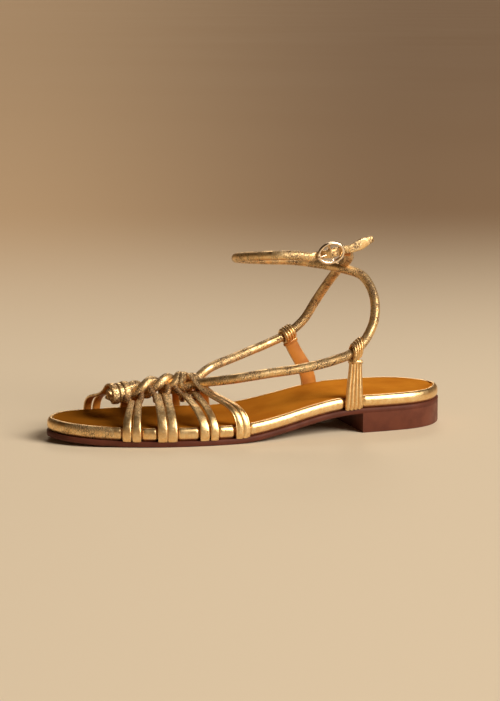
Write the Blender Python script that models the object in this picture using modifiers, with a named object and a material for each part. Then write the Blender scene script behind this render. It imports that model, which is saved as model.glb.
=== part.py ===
"""Gladiator sandal for the left foot, with a knotted strap upper and a buckled ankle strap.

World frame in metres: +X runs to the toe, +Y to the outer side of the foot and +Z up.
The origin is on the floor under the heel block, on the shoe's centre line.
"""
import functools
import math
from collections import namedtuple

import bmesh
import bpy
from mathutils import Matrix, Vector

# Lengths along the sole, from the back of the wrapped edge to the toe
LENGTH = 0.249
BACK_X = -0.025
HEEL_LENGTH = 0.061
SHANK_LENGTH = 0.088
TREAD_LENGTH = 0.040

# Half widths of the wrapped edge at the ball, and the toe tip's offset to the inner side
BALL_OUT = 0.0406
BALL_IN = 0.0410
TIP_Y = -0.0030

# Heights and thicknesses of the bottom
HEEL_SEAT = 0.0117
TOE_SPRING = 0.0032
OUTSOLE_T = 0.0030
FOOTBED_T = 0.0073
INSOLE_T = 0.0010
EDGE_ROLL = 0.43 * FOOTBED_T
INSOLE_MARGIN = 0.0034
WELT_OUT = 0.0003
EDGE_CHAMFER = 0.0005
GAP = 0.0003

# Leather of the upper, and how far its straps stand off the footbed's edge
STRAP_T = 0.0014
STRAP_W = 0.0056
EDGE_CLEARANCE = 0.0006
STRAND_RELIEF = 0.0003
CORD_R = 0.0029
BITE = 0.0005

# Spine of two twisted cords on top of the foot
INSTEP = 0.0330
TWIST_R = 0.0025
TWIST_PITCH = 0.0210
HITCH_R = 0.0018
HITCH_LENGTH = 0.0150
HITCH_OUT = 0.0105
HITCH_DROP = 0.0070

# Ankle strap and the two stirrups that lead it
ANKLE_TOP = 0.1120
ANKLE_HALF = 0.0300
STIRRUP_W = 0.0116
LOOP_CLEARANCE = 0.0014
LOOP_WIDTH = 0.0080

# Buckle with a centre bar
RING_LENGTH = 0.0177
RING_HEIGHT = 0.0133
RING_WIRE_R = 0.0010
BAR_R = 0.0008
BAR_SINK = 0.0006
PRONG_R = 0.0005
BUCKLE_STRAP_W = 0.0050
BUCKLE_LEAD = 0.0050
TAB_T = 0.0011
TAB_W = 0.0052
TAB_BEND = 0.0044
TAB_FALL = 0.0050
BUCKLE_TILT = math.radians(15.0)
STRAP_TILT = math.radians(10.0)
TIP_W = 0.0068
TIP_END_W = 0.0036

# Smoothness of the faceted solids
OUTLINE_STEPS = 2
ROLL_STEPS = 3
CORD_STEPS = 3
ARCH_STEPS = 7
WRAP_STEP = 33.0
RING_STEPS = 24
LOOP_STEPS = 14
BAR_STEPS = 12

# Plan outline: share of LENGTH, then shares of BALL_OUT and BALL_IN
Outline = namedtuple("Outline", "along outer inner")
OUTLINE = (
    Outline(0.015, 0.282, 0.273),
    Outline(0.050, 0.544, 0.530),
    Outline(0.100, 0.704, 0.688),
    Outline(0.180, 0.772, 0.738),
    Outline(0.280, 0.789, 0.681),
    Outline(0.380, 0.852, 0.609),
    Outline(0.460, 0.928, 0.630),
    Outline(0.540, 0.993, 0.703),
    Outline(0.620, 1.000, 0.832),
    Outline(0.680, 0.973, 0.920),
    Outline(0.740, 0.912, 0.988),
    Outline(0.800, 0.816, 0.997),
    Outline(0.860, 0.684, 0.944),
    Outline(0.910, 0.556, 0.843),
    Outline(0.950, 0.407, 0.690),
    Outline(0.980, 0.222, 0.450),
)

# Centre line of the spine: share of LENGTH, share of INSTEP
Spine = namedtuple("Spine", "along height")
SPINE = (
    Spine(0.854, 0.820),
    Spine(0.820, 0.842),
    Spine(0.775, 0.905),
    Spine(0.731, 0.966),
    Spine(0.690, 0.985),
    Spine(0.645, 0.925),
)

# Side loops of the spine: side, share of LENGTH, share of HITCH_LENGTH
Hitch = namedtuple("Hitch", "side along length")
HITCHES = {
    "outer_toe": Hitch(1, 0.797, 0.73),
    "outer_ball": Hitch(1, 0.732, 0.80),
    "outer_vamp": Hitch(1, 0.661, 1.00),
    "inner_ball": Hitch(-1, 0.757, 0.80),
    "inner_vamp": Hitch(-1, 0.692, 1.00),
}

# Straps of the cage: side, base as a share of LENGTH, the side loop or the share of the
# spine that the top goes round, the top's shift as a share of the loop, widths as shares
# of STRAP_W, turn and strands
Strap = namedtuple("Strap", "side base hold shift base_w top_w turn strands")
STRAPS = {
    "toe_outer_front": Strap(1, 0.839, "outer_toe", 0.19, 0.96, 0.64, 230, 1),
    "toe_outer_rear": Strap(1, 0.817, "outer_toe", -0.19, 0.96, 0.64, 230, 1),
    "ball_outer_front": Strap(1, 0.758, "outer_ball", 0.23, 1.04, 0.86, 230, 1),
    "ball_outer_rear": Strap(1, 0.735, "outer_ball", -0.23, 1.04, 0.86, 230, 1),
    "vamp_outer_front": Strap(1, 0.659, "outer_vamp", 0.24, 1.00, 0.86, 230, 1),
    "vamp_outer_rear": Strap(1, 0.635, "outer_vamp", -0.24, 0.89, 0.79, 230, 1),
    "throat_outer": Strap(1, 0.565, 0.646, 0.0, 1.61, 1.29, 260, 2),
    "toe_inner_front": Strap(-1, 0.867, 0.848, 0.0, 0.96, 0.82, 560, 1),
    "toe_inner_rear": Strap(-1, 0.843, 0.814, 0.0, 0.96, 0.82, 290, 1),
    "ball_inner_front": Strap(-1, 0.771, "inner_ball", 0.23, 1.04, 0.86, 230, 1),
    "ball_inner_rear": Strap(-1, 0.747, "inner_ball", -0.23, 1.04, 0.86, 230, 1),
    "vamp_inner_front": Strap(-1, 0.666, "inner_vamp", 0.24, 1.00, 0.86, 230, 1),
    "vamp_inner_rear": Strap(-1, 0.642, "inner_vamp", -0.24, 0.89, 0.79, 230, 1),
    "throat_inner": Strap(-1, 0.578, 0.670, 0.0, 1.61, 1.25, 260, 2),
}

# Routes of the two ankle cords from the throat: share of LENGTH, share of ANKLE_HALF,
# share of the rise from INSTEP to ANKLE_TOP
Route = namedtuple("Route", "along side rise")
OUTER_ROUTE = (
    Route(0.560, 0.667, 0.035),
    Route(0.478, 0.800, 0.072),
    Route(0.394, 0.900, 0.104),
    Route(0.317, 0.967, 0.156),
    Route(0.262, 1.000, 0.224),
    Route(0.213, 0.867, 0.405),
    Route(0.198, 0.667, 0.570),
    Route(0.200, 0.400, 0.692),
    Route(0.214, 0.167, 0.768),
    Route(0.256, -0.067, 0.812),
    Route(0.300, -0.667, 0.830),
    Route(0.345, -0.900, 0.845),
    Route(0.408, -0.933, 0.856),
    Route(0.480, -0.640, 0.885),
    Route(0.526, -0.060, 0.925),
    Route(0.505, 0.640, 0.965),
    Route(0.455, 0.960, 0.980),
    Route(0.405, 1.000, 0.974),
)
INNER_ROUTE = (
    Route(0.590, -0.267, 0.060),
    Route(0.502, -0.600, 0.124),
    Route(0.409, -0.867, 0.198),
    Route(0.357, -0.967, 0.256),
    Route(0.313, -1.000, 0.360),
    Route(0.285, -0.900, 0.513),
    Route(0.261, -0.600, 0.690),
    Route(0.250, -0.200, 0.815),
    Route(0.250, 0.250, 0.895),
    Route(0.263, 0.640, 0.955),
)
BUCKLE_AT = Route(0.328, 1.000, 0.985)
TIP_ROUTE = (Route(0.276, 0.950, 1.010), Route(0.246, 0.900, 1.040), Route(0.213, 0.840, 1.077))

# Stirrups: side, base as a share of LENGTH, row of the route that the loop holds, widths
# as shares of STIRRUP_W, strands
Stirrup = namedtuple("Stirrup", "side base route row base_w top_w strands")
STIRRUPS = {
    "stirrup_outer": Stirrup(1, 0.270, OUTER_ROUTE, 4, 1.00, 0.70, 4),
    "stirrup_inner": Stirrup(-1, 0.300, INNER_ROUTE, 3, 0.93, 0.76, 4),
}


def station(along):
    """X of a share of the sole's length."""
    return BACK_X + along * LENGTH


def route_point(row):
    """World point of one row of a cord's route."""
    height = INSTEP + row.rise * (ANKLE_TOP - INSTEP)
    return Vector((station(row.along), row.side * ANKLE_HALF, height))


def catmull(before, start, end, after, share):
    """Point between start and end on a centripetal curve through four points."""
    gaps = [math.sqrt((q - p).length) for p, q in ((before, start), (start, end), (end, after))]
    first, middle, last = (max(gap, 1e-6) for gap in gaps)
    leave = (end - start) + middle * ((start - before) / first - (end - before) / (first + middle))
    reach = (end - start) + middle * ((after - end) / last - (after - start) / (middle + last))
    square = share * share
    cube = square * share
    return (
        (2 * cube - 3 * square + 1) * start
        + (cube - 2 * square + share) * leave
        + (3 * square - 2 * cube) * end
        + (cube - square) * reach
    )


def smooth(points, steps, closed=False):
    """Points of a smooth curve through the given ones, with steps pieces to each span."""
    count = len(points)
    if closed:
        spans = [[points[(i + k) % count] for k in (-1, 0, 1, 2)] for i in range(count)]
    else:
        first = 2 * points[0] - points[1]
        last = 2 * points[-1] - points[-2]
        row = [first, *points, last]
        spans = [row[i:i + 4] for i in range(count - 1)]
    curve = [catmull(*span, step / steps) for span in spans for step in range(steps)]
    return curve if closed else [*curve, points[-1].copy()]


@functools.cache
def outline(inset):
    """Plan outline moved inwards: heel back first, then outer side, toe tip and inner side."""
    outer = [Vector((station(row.along), row.outer * BALL_OUT)) for row in OUTLINE]
    inner = [Vector((station(row.along), -row.inner * BALL_IN)) for row in reversed(OUTLINE)]
    back = Vector((BACK_X, 0.0))
    tip = Vector((BACK_X + LENGTH, TIP_Y))
    edge = smooth([back, *outer, tip, *inner], OUTLINE_STEPS, closed=True)
    moved = []
    for index, point in enumerate(edge):
        run = (edge[(index + 1) % len(edge)] - edge[index - 1]).normalized()
        moved.append(point - inset * Vector((-run.y, run.x)))
    return moved


def rim_frame(along, side):
    """Point, outward normal and forward tangent of the wrapped edge at one station."""
    edge = outline(0.0)
    half = len(edge) // 2
    run = edge[:half + 1] if side > 0 else [edge[0], *reversed(edge[half:])]
    x = station(along)
    for start, end in zip(run, run[1:]):
        if start.x <= x <= end.x:
            break
    share = (x - start.x) / (end.x - start.x)
    forward = (end - start).normalized()
    outward = side * Vector((-forward.y, forward.x))
    return start.lerp(end, share), outward, forward


def underside(x):
    """Height of the outsole's lower face: heel seat, shank, flat tread, toe spring."""
    seat_end = BACK_X + HEEL_LENGTH
    tread_start = seat_end + SHANK_LENGTH
    tread_end = tread_start + TREAD_LENGTH
    if x <= seat_end:
        return HEEL_SEAT
    if x < tread_start:
        share = (x - seat_end) / SHANK_LENGTH
        return 0.5 * HEEL_SEAT * (1.0 + math.cos(math.pi * share))
    if x <= tread_end:
        return 0.0
    share = (x - tread_end) / (BACK_X + LENGTH - tread_end)
    return TOE_SPRING * share * share


def footbed_base(x):
    """Height of the footbed's lower face."""
    return underside(x) + OUTSOLE_T + GAP


def insole_base(x):
    """Height of the insole's lower face."""
    return footbed_base(x) + FOOTBED_T + GAP


def spine_point(along):
    """Point on the spine's centre line at a share of the sole's length."""
    line = smooth([Vector((row.along, row.height)) for row in SPINE], CORD_STEPS)
    nearest = min(range(len(line) - 1), key=lambda i: abs(line[i].x + line[i + 1].x - 2 * along))
    start, end = line[nearest], line[nearest + 1]
    height = start.y + (end.y - start.y) * (along - start.x) / (end.x - start.x)
    return Vector((station(along), 0.0, height * INSTEP))


def twisted_strand(phase):
    """Points of one of the spine's two cords, from the toe to the throat."""
    front, rear = SPINE[0].along, SPINE[-1].along
    turns = (front - rear) * LENGTH / TWIST_PITCH
    count = round(8 * turns)
    points = []
    for index in range(count + 1):
        share = index / count
        angle = phase - 2.0 * math.pi * turns * (1.0 - share)
        centre = spine_point(front + (rear - front) * share)
        points.append(centre + TWIST_R * Vector((0.0, math.cos(angle), math.sin(angle))))
    return points


def new_mesh_object(name, bm, collection):
    """Object that takes over a bmesh, with its faces pointing out."""
    bmesh.ops.recalc_face_normals(bm, faces=bm.faces)
    mesh = bpy.data.meshes.new(name)
    bm.to_mesh(mesh)
    bm.free()
    obj = bpy.data.objects.new(name, mesh)
    collection.objects.link(obj)
    return obj


def guide(obj):
    """Marks an object as a cutter or a piece of a union, which isn't a part itself."""
    obj.hide_render = True
    obj.display_type = "WIRE"
    return obj


def finish(obj, name, color, roughness, metallic, smooth_angle=35.0):
    """Gives a part its own material and smooth shading."""
    material = bpy.data.materials.new(name)
    material.use_nodes = True
    shader = material.node_tree.nodes["Principled BSDF"]
    shader.inputs["Base Color"].default_value = (*color, 1.0)
    shader.inputs["Roughness"].default_value = roughness
    shader.inputs["Metallic"].default_value = metallic
    obj.data.materials.clear()
    obj.data.materials.append(material)
    obj.data.shade_smooth()
    obj.data.set_sharp_from_angle(angle=math.radians(smooth_angle))
    return obj


def layer(name, profile, base, collection):
    """Sole layer: outlines at each inset and height of a profile, closed below and above."""
    bm = bmesh.new()
    rings = []
    for inset, height in profile:
        ring = [Vector((p.x, p.y, base(p.x) + height)) for p in outline(inset)]
        rings.append([bm.verts.new(point) for point in ring])
    count = len(rings[0])
    for lower, upper in zip(rings, rings[1:]):
        for i in range(count):
            j = (i + 1) % count
            bm.faces.new((lower[i], lower[j], upper[j], upper[i]))
    for ring in (rings[0], rings[-1]):
        bm.faces.new((ring[0], ring[1], ring[-1]))
        for i in range(1, count // 2 - 1):
            bm.faces.new((ring[i], ring[i + 1], ring[-i - 1], ring[-i]))
        bm.faces.new((ring[count // 2 - 1], ring[count // 2], ring[count // 2 + 1]))
    return new_mesh_object(name, bm, collection)


def rolled_profile():
    """Inset and height pairs of the footbed's rounded edge, bottom to top."""
    profile = []
    for centre, start in ((EDGE_ROLL, -90.0), (FOOTBED_T - EDGE_ROLL, 0.0)):
        for step in range(ROLL_STEPS + 1):
            angle = math.radians(start + 90.0 * step / ROLL_STEPS)
            inset = EDGE_ROLL * (1.0 - math.cos(angle))
            profile.append((inset, centre + EDGE_ROLL * math.sin(angle)))
    return profile


def heel_block(collection):
    """D-shaped block under the heel seat, with an upright breast."""
    breast = BACK_X + HEEL_LENGTH
    top = HEEL_SEAT - GAP
    bm = bmesh.new()
    rings = []
    for inset, height in ((EDGE_CHAMFER, 0.0), (0.0, EDGE_CHAMFER), (0.0, top)):
        edge = outline(inset)
        half = len(edge) // 2
        outer = [p for p in edge[:half] if p.x < breast - inset]
        inner = [p for p in edge[half:] if p.x < breast - inset]
        corners = []
        for last, following in ((outer[-1], edge[len(outer)]), (inner[0], edge[-len(inner) - 1])):
            share = (breast - inset - last.x) / (following.x - last.x)
            corners.append(last.lerp(following, share))
        loop = [*outer, *corners, *inner]
        rings.append([bm.verts.new((p.x, p.y, height)) for p in loop])
    for lower, upper in zip(rings, rings[1:]):
        for i in range(len(lower)):
            j = (i + 1) % len(lower)
            bm.faces.new((lower[i], lower[j], upper[j], upper[i]))
    bm.faces.new(rings[0])
    bm.faces.new(rings[-1])
    return new_mesh_object("heel_block", bm, collection)


def tube(name, points, radius, collection, closed=False, taper=0):
    """Round cord or wire as a mesh; the last taper points shrink to a narrow end."""
    data = bpy.data.curves.new(name, "CURVE")
    data.dimensions = "3D"
    data.bevel_depth = radius
    data.bevel_resolution = 2
    data.use_fill_caps = True
    spline = data.splines.new("POLY")
    spline.points.add(len(points) - 1)
    for index, (target, point) in enumerate(zip(spline.points, points)):
        target.co = (*point, 1.0)
        left = len(points) - 1 - index
        target.radius = 1.0 if left >= taper else 0.45 + 0.55 * left / taper
    spline.use_cyclic_u = closed
    curve = bpy.data.objects.new(name, data)
    collection.objects.link(curve)
    bpy.context.view_layer.update()
    evaluated = curve.evaluated_get(bpy.context.evaluated_depsgraph_get())
    mesh = bpy.data.meshes.new_from_object(evaluated)
    bm = bmesh.new()
    bm.from_mesh(mesh)
    bmesh.ops.remove_doubles(bm, verts=bm.verts, dist=1e-6)
    bpy.data.objects.remove(curve)
    bpy.data.meshes.remove(mesh)
    return new_mesh_object(name, bm, collection)


def ribbon(name, path, widths, sides, collection, thickness=STRAP_T, strands=1, closed=False):
    """Flat leather strip: a sheet that follows the path, thickened to both of its faces.

    sides gives the direction across the strip at each point; strands raises that many ribs.
    """
    columns = 2 * strands if strands > 1 else 1
    count = len(path)
    bm = bmesh.new()
    rows = []
    for index, (point, width, side) in enumerate(zip(path, widths, sides)):
        ahead = path[(index + 1) % count] if closed else path[min(index + 1, count - 1)]
        behind = path[index - 1] if closed or index else path[0]
        across = side.normalized()
        face = (ahead - behind).cross(across).normalized()
        row = []
        for column in range(columns + 1):
            relief = STRAND_RELIEF if column % 2 and strands > 1 else 0.0
            offset = (column / columns - 0.5) * width
            row.append(bm.verts.new(point + offset * across + relief * face))
        rows.append(row)
    pairs = list(zip(rows, rows[1:]))
    if closed:
        pairs.append((rows[-1], rows[0]))
    for near, far in pairs:
        for column in range(columns):
            corners = (near[column], near[column + 1], far[column + 1], far[column])
            bm.faces.new(corners)
    strip = new_mesh_object(name, bm, collection)
    solid = strip.modifiers.new("thickness", "SOLIDIFY")
    solid.thickness = thickness
    solid.offset = 0.0
    return strip


def boolean(obj, operation, operand):
    """Adds an exact Boolean with one object or a collection of them."""
    cut = obj.modifiers.new(operation.lower(), "BOOLEAN")
    cut.operation = operation
    cut.solver = "EXACT"
    if isinstance(operand, bpy.types.Collection):
        cut.operand_type = "COLLECTION"
        cut.collection = operand
    else:
        cut.object = operand


def bezier(start, leave, reach, end, steps):
    """Points of a cubic curve after its start, up to and with its end."""
    points = []
    for step in range(1, steps + 1):
        share = step / steps
        rest = 1.0 - share
        points.append(
            rest ** 3 * start
            + 3 * rest ** 2 * share * leave
            + 3 * rest * share ** 2 * reach
            + share ** 3 * end
        )
    return points


def edge_bulge(along, side, width):
    """How far the footbed's edge stands out under a strap of this width."""
    edge, outward, forward = rim_frame(along, side)
    reach = 0.5 * width / LENGTH
    spots = [rim_frame(along + share * reach, side)[0] for share in (-1.0, -0.5, 0.5, 1.0)]
    return max(0.0, *[(spot - edge).dot(outward) for spot in spots])


def rim_path(along, side, width):
    """Strap path from the outsole round the footbed's edge, and its direction across."""
    edge, outward, forward = rim_frame(along, side)
    reach = EDGE_ROLL + EDGE_CLEARANCE + 0.5 * STRAP_T + edge_bulge(along, side, width)
    lowest = -math.asin(EDGE_ROLL / (reach + 0.5 * STRAP_T))
    centre = edge - EDGE_ROLL * outward
    base = footbed_base(edge.x)
    out = Vector((outward.x, outward.y, 0.0))
    path = []
    for angle in (lowest, 0.5 * lowest, 0.0):
        point = Vector((centre.x, centre.y, base + EDGE_ROLL))
        path.append(point + reach * (math.cos(angle) * out + math.sin(angle) * Vector((0, 0, 1))))
    path.append(path[-1] + Vector((0.0, 0.0, FOOTBED_T - 2.0 * EDGE_ROLL)))
    ahead, behind = edge + 0.5 * width * forward, edge - 0.5 * width * forward
    slope = (underside(ahead.x) - underside(behind.x)) / width
    return path, side * Vector((forward.x, forward.y, slope))


def hitch_centre(hitch):
    """Middle of the outermost stretch of a side loop."""
    spine = spine_point(hitch.along)
    return spine + Vector((0.0, hitch.side * HITCH_OUT, -HITCH_DROP))


def hitch_path(hitch):
    """Half loop of cord that stands out from the spine and droops to its straps."""
    spine = spine_point(hitch.along)
    points = []
    for step in range(ARCH_STEPS + 1):
        angle = math.pi * step / ARCH_STEPS
        out = HITCH_OUT * math.sin(angle) ** 0.7
        drop = HITCH_DROP * math.sin(angle)
        shift = 0.5 * hitch.length * HITCH_LENGTH * math.cos(angle)
        points.append(spine + Vector((shift, hitch.side * out, -drop)))
    return points


def cage_strap(name, row, collection):
    """One strap of the cage: up the footbed's edge, over the foot and round its hold."""
    base_w, top_w = row.base_w * STRAP_W, row.top_w * STRAP_W
    path, forward = rim_path(row.base, row.side, base_w)
    if isinstance(row.hold, str):
        hitch = HITCHES[row.hold]
        shift = row.shift * hitch.length * HITCH_LENGTH
        hold = hitch_centre(hitch) + Vector((shift, 0.0, 0.0))
        radius = HITCH_R + 0.5 * STRAP_T - BITE
        arrive, lift = 75.0, 0.55
    else:
        hold = spine_point(row.hold)
        radius = TWIST_R + CORD_R + 0.5 * STRAP_T - BITE
        arrive, lift = 45.0, 0.80
    up = Vector((0.0, 0.0, 1.0))
    out = path[-1] - hold
    out = Vector((out.x, out.y, 0.0)).normalized()
    steps = round(row.turn / WRAP_STEP)
    turns = [math.radians(arrive + row.turn * step / steps) for step in range(steps + 1)]
    advance = -top_w / (2.0 * math.pi)
    wrap = []
    for angle in turns:
        slide = advance * max(0.0, angle - turns[0]) if row.turn > 360 else 0.0
        round_hold = radius * (math.cos(angle) * out + math.sin(angle) * up)
        wrap.append(hold + round_hold + Vector((slide, 0.0, 0.0)))
    heading = Vector(-math.sin(turns[0]) * out + math.cos(turns[0]) * up)
    start, end = path[-1], wrap[0]
    rise = lift * (end.z - start.z)
    span = 0.50 * (Vector((end.x, end.y)) - Vector((start.x, start.y))).length
    arch = bezier(start, start + rise * up, end - span * heading, end, ARCH_STEPS)
    rim_count = len(path)
    path = [*path, *arch, *wrap[1:]]
    widths, sides = [], []
    for index in range(len(path)):
        share = min(1.0, max(0.0, (index - rim_count + 1) / ARCH_STEPS))
        widths.append(base_w + (top_w - base_w) * share)
        sides.append(forward.lerp(out.cross(up), share))
    return guide(ribbon(name, path, widths, sides, collection, strands=row.strands))


def buckle_axes(tilt=BUCKLE_TILT):
    """Forward, outward and upward directions at the buckle, with the front tilted down."""
    forward = Vector((math.cos(tilt), 0.0, -math.sin(tilt)))
    upward = Vector((math.sin(tilt), 0.0, math.cos(tilt)))
    return forward, Vector((0.0, 1.0, 0.0)), upward


def buckle_point(ahead, out, up=0.0, tilt=BUCKLE_TILT):
    """World point from distances in the buckle's own frame."""
    forward, outward, upward = buckle_axes(tilt)
    return route_point(BUCKLE_AT) + ahead * forward + out * outward + up * upward


def buckle_levels():
    """Strap heights over the buckle's plane: under its ends, and over its bar."""
    under = -(RING_WIRE_R + GAP + 0.5 * STRAP_T)
    over = BAR_R + GAP + TAB_T + GAP + 0.5 * STRAP_T - BAR_SINK
    return under, over


def buckle_box(name, low, high, collection):
    """Box cutter between two corners given in the buckle's frame."""
    bpy.ops.mesh.primitive_cube_add(size=1.0)
    box = bpy.context.object
    box.name = name
    size = Vector(high) - Vector(low)
    middle = 0.5 * (Vector(high) + Vector(low))
    turn = Matrix(buckle_axes()).transposed().to_4x4()
    place = Matrix.Translation(buckle_point(*middle)) @ turn @ Matrix.Diagonal((*size, 1.0))
    box.data.transform(place)
    for owner in list(box.users_collection):
        owner.objects.unlink(box)
    collection.objects.link(box)
    return guide(box)


def cord_through(route, strand, last):
    """Cord path: its twisted stretch in the spine, then a smooth run along its route."""
    marks = [*strand, *[route_point(row) for row in route], last]
    run = smooth(marks, CORD_STEPS)
    twisted = len(strand) - 1
    return [*strand[:twisted], *run[twisted * CORD_STEPS:]]


def outer_cord(pieces, cutters):
    """Cord from the spine round the ankle, its flat end through the buckle and its tip."""
    under, over = buckle_levels()
    reach = 0.5 * RING_LENGTH - RING_WIRE_R
    profile = (
        (reach + BUCKLE_LEAD, 0.70 * under),
        (1.15 * reach, under),
        (0.90 * reach, under),
        (0.72 * reach, under),
        (0.50 * reach, 0.12 * over),
        (0.30 * reach, 0.74 * over),
        (0.00, over),
        (-0.30 * reach, 0.74 * over),
        (-0.50 * reach, 0.12 * over),
        (-0.72 * reach, under),
        (-0.90 * reach, under),
        (-1.15 * reach, under),
    )
    bent = [buckle_point(ahead, out, tilt=STRAP_TILT) for ahead, out in profile]
    cord = cord_through(OUTER_ROUTE, twisted_strand(0.0), bent[0])
    guide(tube("outer_cord", cord, CORD_R, pieces, taper=4))
    start = route_point(OUTER_ROUTE[-1])
    path = smooth([start, *bent, *[route_point(row) for row in TIP_ROUTE]], 2)
    last = len(path) - 1
    tip_start = last - 2 * len(TIP_ROUTE)
    widths = []
    for index in range(len(path)):
        rise = min(1.0, index / 5.0)
        spread = min(1.0, max(0.0, 0.5 * (index - tip_start)))
        fall = min(1.0, 0.5 * (last - index))
        wide = BUCKLE_STRAP_W * (0.6 + 0.4 * rise) + (TIP_W - BUCKLE_STRAP_W) * spread
        widths.append(TIP_END_W + (wide - TIP_END_W) * fall)
    up = buckle_axes(STRAP_TILT)[2]
    strap = guide(ribbon("strap_end", path, widths, [up] * len(path), pieces))
    half = PRONG_R + GAP
    low, high = (0.13 * reach, -STRAP_T, -half), (0.79 * reach, 3.0 * STRAP_T, half)
    hole = buckle_box("prong_hole", low, high, cutters)
    boolean(strap, "DIFFERENCE", hole)


def inner_cord(pieces, cutters):
    """Cord from the spine up the inner side, behind the ankle and on to the buckle's bar."""
    reach = 0.5 * RING_LENGTH - RING_WIRE_R
    radius = BAR_R + GAP + 0.5 * TAB_T
    low = -BAR_SINK - radius
    profile = (
        (-1.75 * reach, low - TAB_BEND, -TAB_FALL),
        (-1.15 * reach, low - 0.59 * TAB_BEND, -0.52 * TAB_FALL),
        (-0.60 * reach, low - 0.27 * TAB_BEND, -0.16 * TAB_FALL),
        (0.0, low, 0.0),
    )
    marks = [buckle_point(*row) for row in profile]
    cord = cord_through(INNER_ROUTE, twisted_strand(math.pi), marks[0])
    guide(tube("inner_cord", cord, CORD_R, pieces, taper=4))
    start = route_point(INNER_ROUTE[-1])
    path = smooth([start, *marks], 2)
    widths = [TAB_W * min(1.0, 0.55 + 0.12 * index) for index in range(len(path))]
    up = buckle_axes()[2]
    tab = ribbon("bar_tab", path, widths, [up] * len(path), pieces, thickness=TAB_T)
    circle = bar_circle(radius)
    wide, across = [TAB_W] * len(circle), [up] * len(circle)
    loop = ribbon("bar_loop", circle, wide, across, pieces, thickness=TAB_T, closed=True)
    reach, half = radius + TAB_T, PRONG_R + GAP
    low, high = (-reach, -BAR_SINK - reach, -half), (reach, -BAR_SINK + reach, half)
    slot = buckle_box("prong_slot", low, high, cutters)
    for piece in (tab, loop):
        guide(piece)
        boolean(piece, "DIFFERENCE", slot)


def upper(parts, pieces, cutters):
    """Whole strap upper as one solid: the cage, its spine and both ankle cords."""
    outer_cord(pieces, cutters)
    inner_cord(pieces, cutters)
    for name, row in STRAPS.items():
        cage_strap(name, row, pieces)
    for name, row in HITCHES.items():
        guide(tube("loop_" + name, hitch_path(row), HITCH_R, pieces))
    first = pieces.objects["outer_cord"]
    whole = bpy.data.objects.new("upper", first.data.copy())
    parts.objects.link(whole)
    pieces.objects.unlink(first)
    bpy.data.objects.remove(first)
    boolean(whole, "UNION", pieces)
    return whole


def stirrup(name, row, parts, cutters):
    """Strap that stands on the sole's edge and leads an ankle cord through its slanted loop."""
    base_w, top_w = row.base_w * STIRRUP_W, row.top_w * STIRRUP_W
    path, forward = rim_path(row.base, row.side, base_w)
    marks = [route_point(mark) for mark in row.route]
    centre = marks[row.row]
    along = (marks[row.row + 1] - marks[row.row - 1]).normalized()
    radius = CORD_R + LOOP_CLEARANCE + 0.5 * STRAP_T
    start = path[-1]
    down = (start - centre).normalized()
    low = radius / (down - down.dot(along) * along).length * down
    level = radius * along.cross(down).normalized()
    end = centre + low
    rise = 0.4 * (end - start).length
    up = Vector((0.0, 0.0, 1.0))
    climb = bezier(start, start + rise * up, end + rise * down, end, ARCH_STEPS)
    rim_count = len(path)
    path = [*path, *climb]
    across = down.cross(level).normalized()
    if across.x * row.side < 0.0:
        across = -across
    widths, sides = [], []
    for index in range(len(path)):
        share = max(0.0, (index - rim_count + 1) / ARCH_STEPS)
        widths.append(base_w + (top_w - base_w) * share)
        sides.append(forward.lerp(across, share))
    strap = ribbon(name, path, widths, sides, parts, strands=row.strands)
    turns = [2.0 * math.pi * step / LOOP_STEPS for step in range(LOOP_STEPS)]
    ring = [centre + math.cos(turn) * low + math.sin(turn) * level for turn in turns]
    wide, slant = [LOOP_WIDTH] * LOOP_STEPS, [along] * LOOP_STEPS
    loop = ribbon(name + "_loop", ring, wide, slant, cutters, closed=True)
    boolean(strap, "UNION", guide(loop))
    return strap


def bar_circle(radius):
    """Points of a circle round the buckle's bar."""
    turns = [2.0 * math.pi * step / BAR_STEPS for step in range(BAR_STEPS)]
    return [buckle_point(radius * math.cos(t), radius * math.sin(t) - BAR_SINK) for t in turns]


def buckle_frame(parts, cutters):
    """Oval ring with a bar across its middle."""
    ring = []
    for step in range(RING_STEPS):
        angle = 2.0 * math.pi * step / RING_STEPS
        ahead = (0.5 * RING_LENGTH - RING_WIRE_R) * math.cos(angle)
        up = (0.5 * RING_HEIGHT - RING_WIRE_R) * math.sin(angle)
        ring.append(buckle_point(ahead, 0.0, up))
    frame = tube("buckle_frame", ring, RING_WIRE_R, parts, closed=True)
    half = 0.5 * RING_HEIGHT - RING_WIRE_R
    ends = [(-half, 0.0), (-0.7 * half, -BAR_SINK), (0.7 * half, -BAR_SINK), (half, 0.0)]
    bar = [buckle_point(0.0, out, up) for up, out in ends]
    boolean(frame, "UNION", guide(tube("buckle_bar", bar, BAR_R, cutters)))
    return frame


def buckle_prong(parts, cutters):
    """Prong with its eye round the bar and its tip on the front end of the ring."""
    radius = BAR_R + GAP + PRONG_R
    reach = 0.5 * RING_LENGTH - RING_WIRE_R
    rest = RING_WIRE_R + GAP + PRONG_R
    prong = tube("buckle_prong", bar_circle(radius), PRONG_R, parts, closed=True)
    start = (0.5 * radius, 0.86 * radius - BAR_SINK)
    marks = (start, (0.45 * reach, 0.75 * rest), (reach, rest), (1.19 * reach, rest - GAP))
    pin = tube("prong_pin", [buckle_point(*mark) for mark in marks], PRONG_R, cutters)
    boolean(prong, "UNION", guide(pin))
    return prong


def new_collection(name):
    """Collection linked to the scene."""
    collection = bpy.data.collections.new(name)
    bpy.context.scene.collection.children.link(collection)
    return collection


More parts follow.
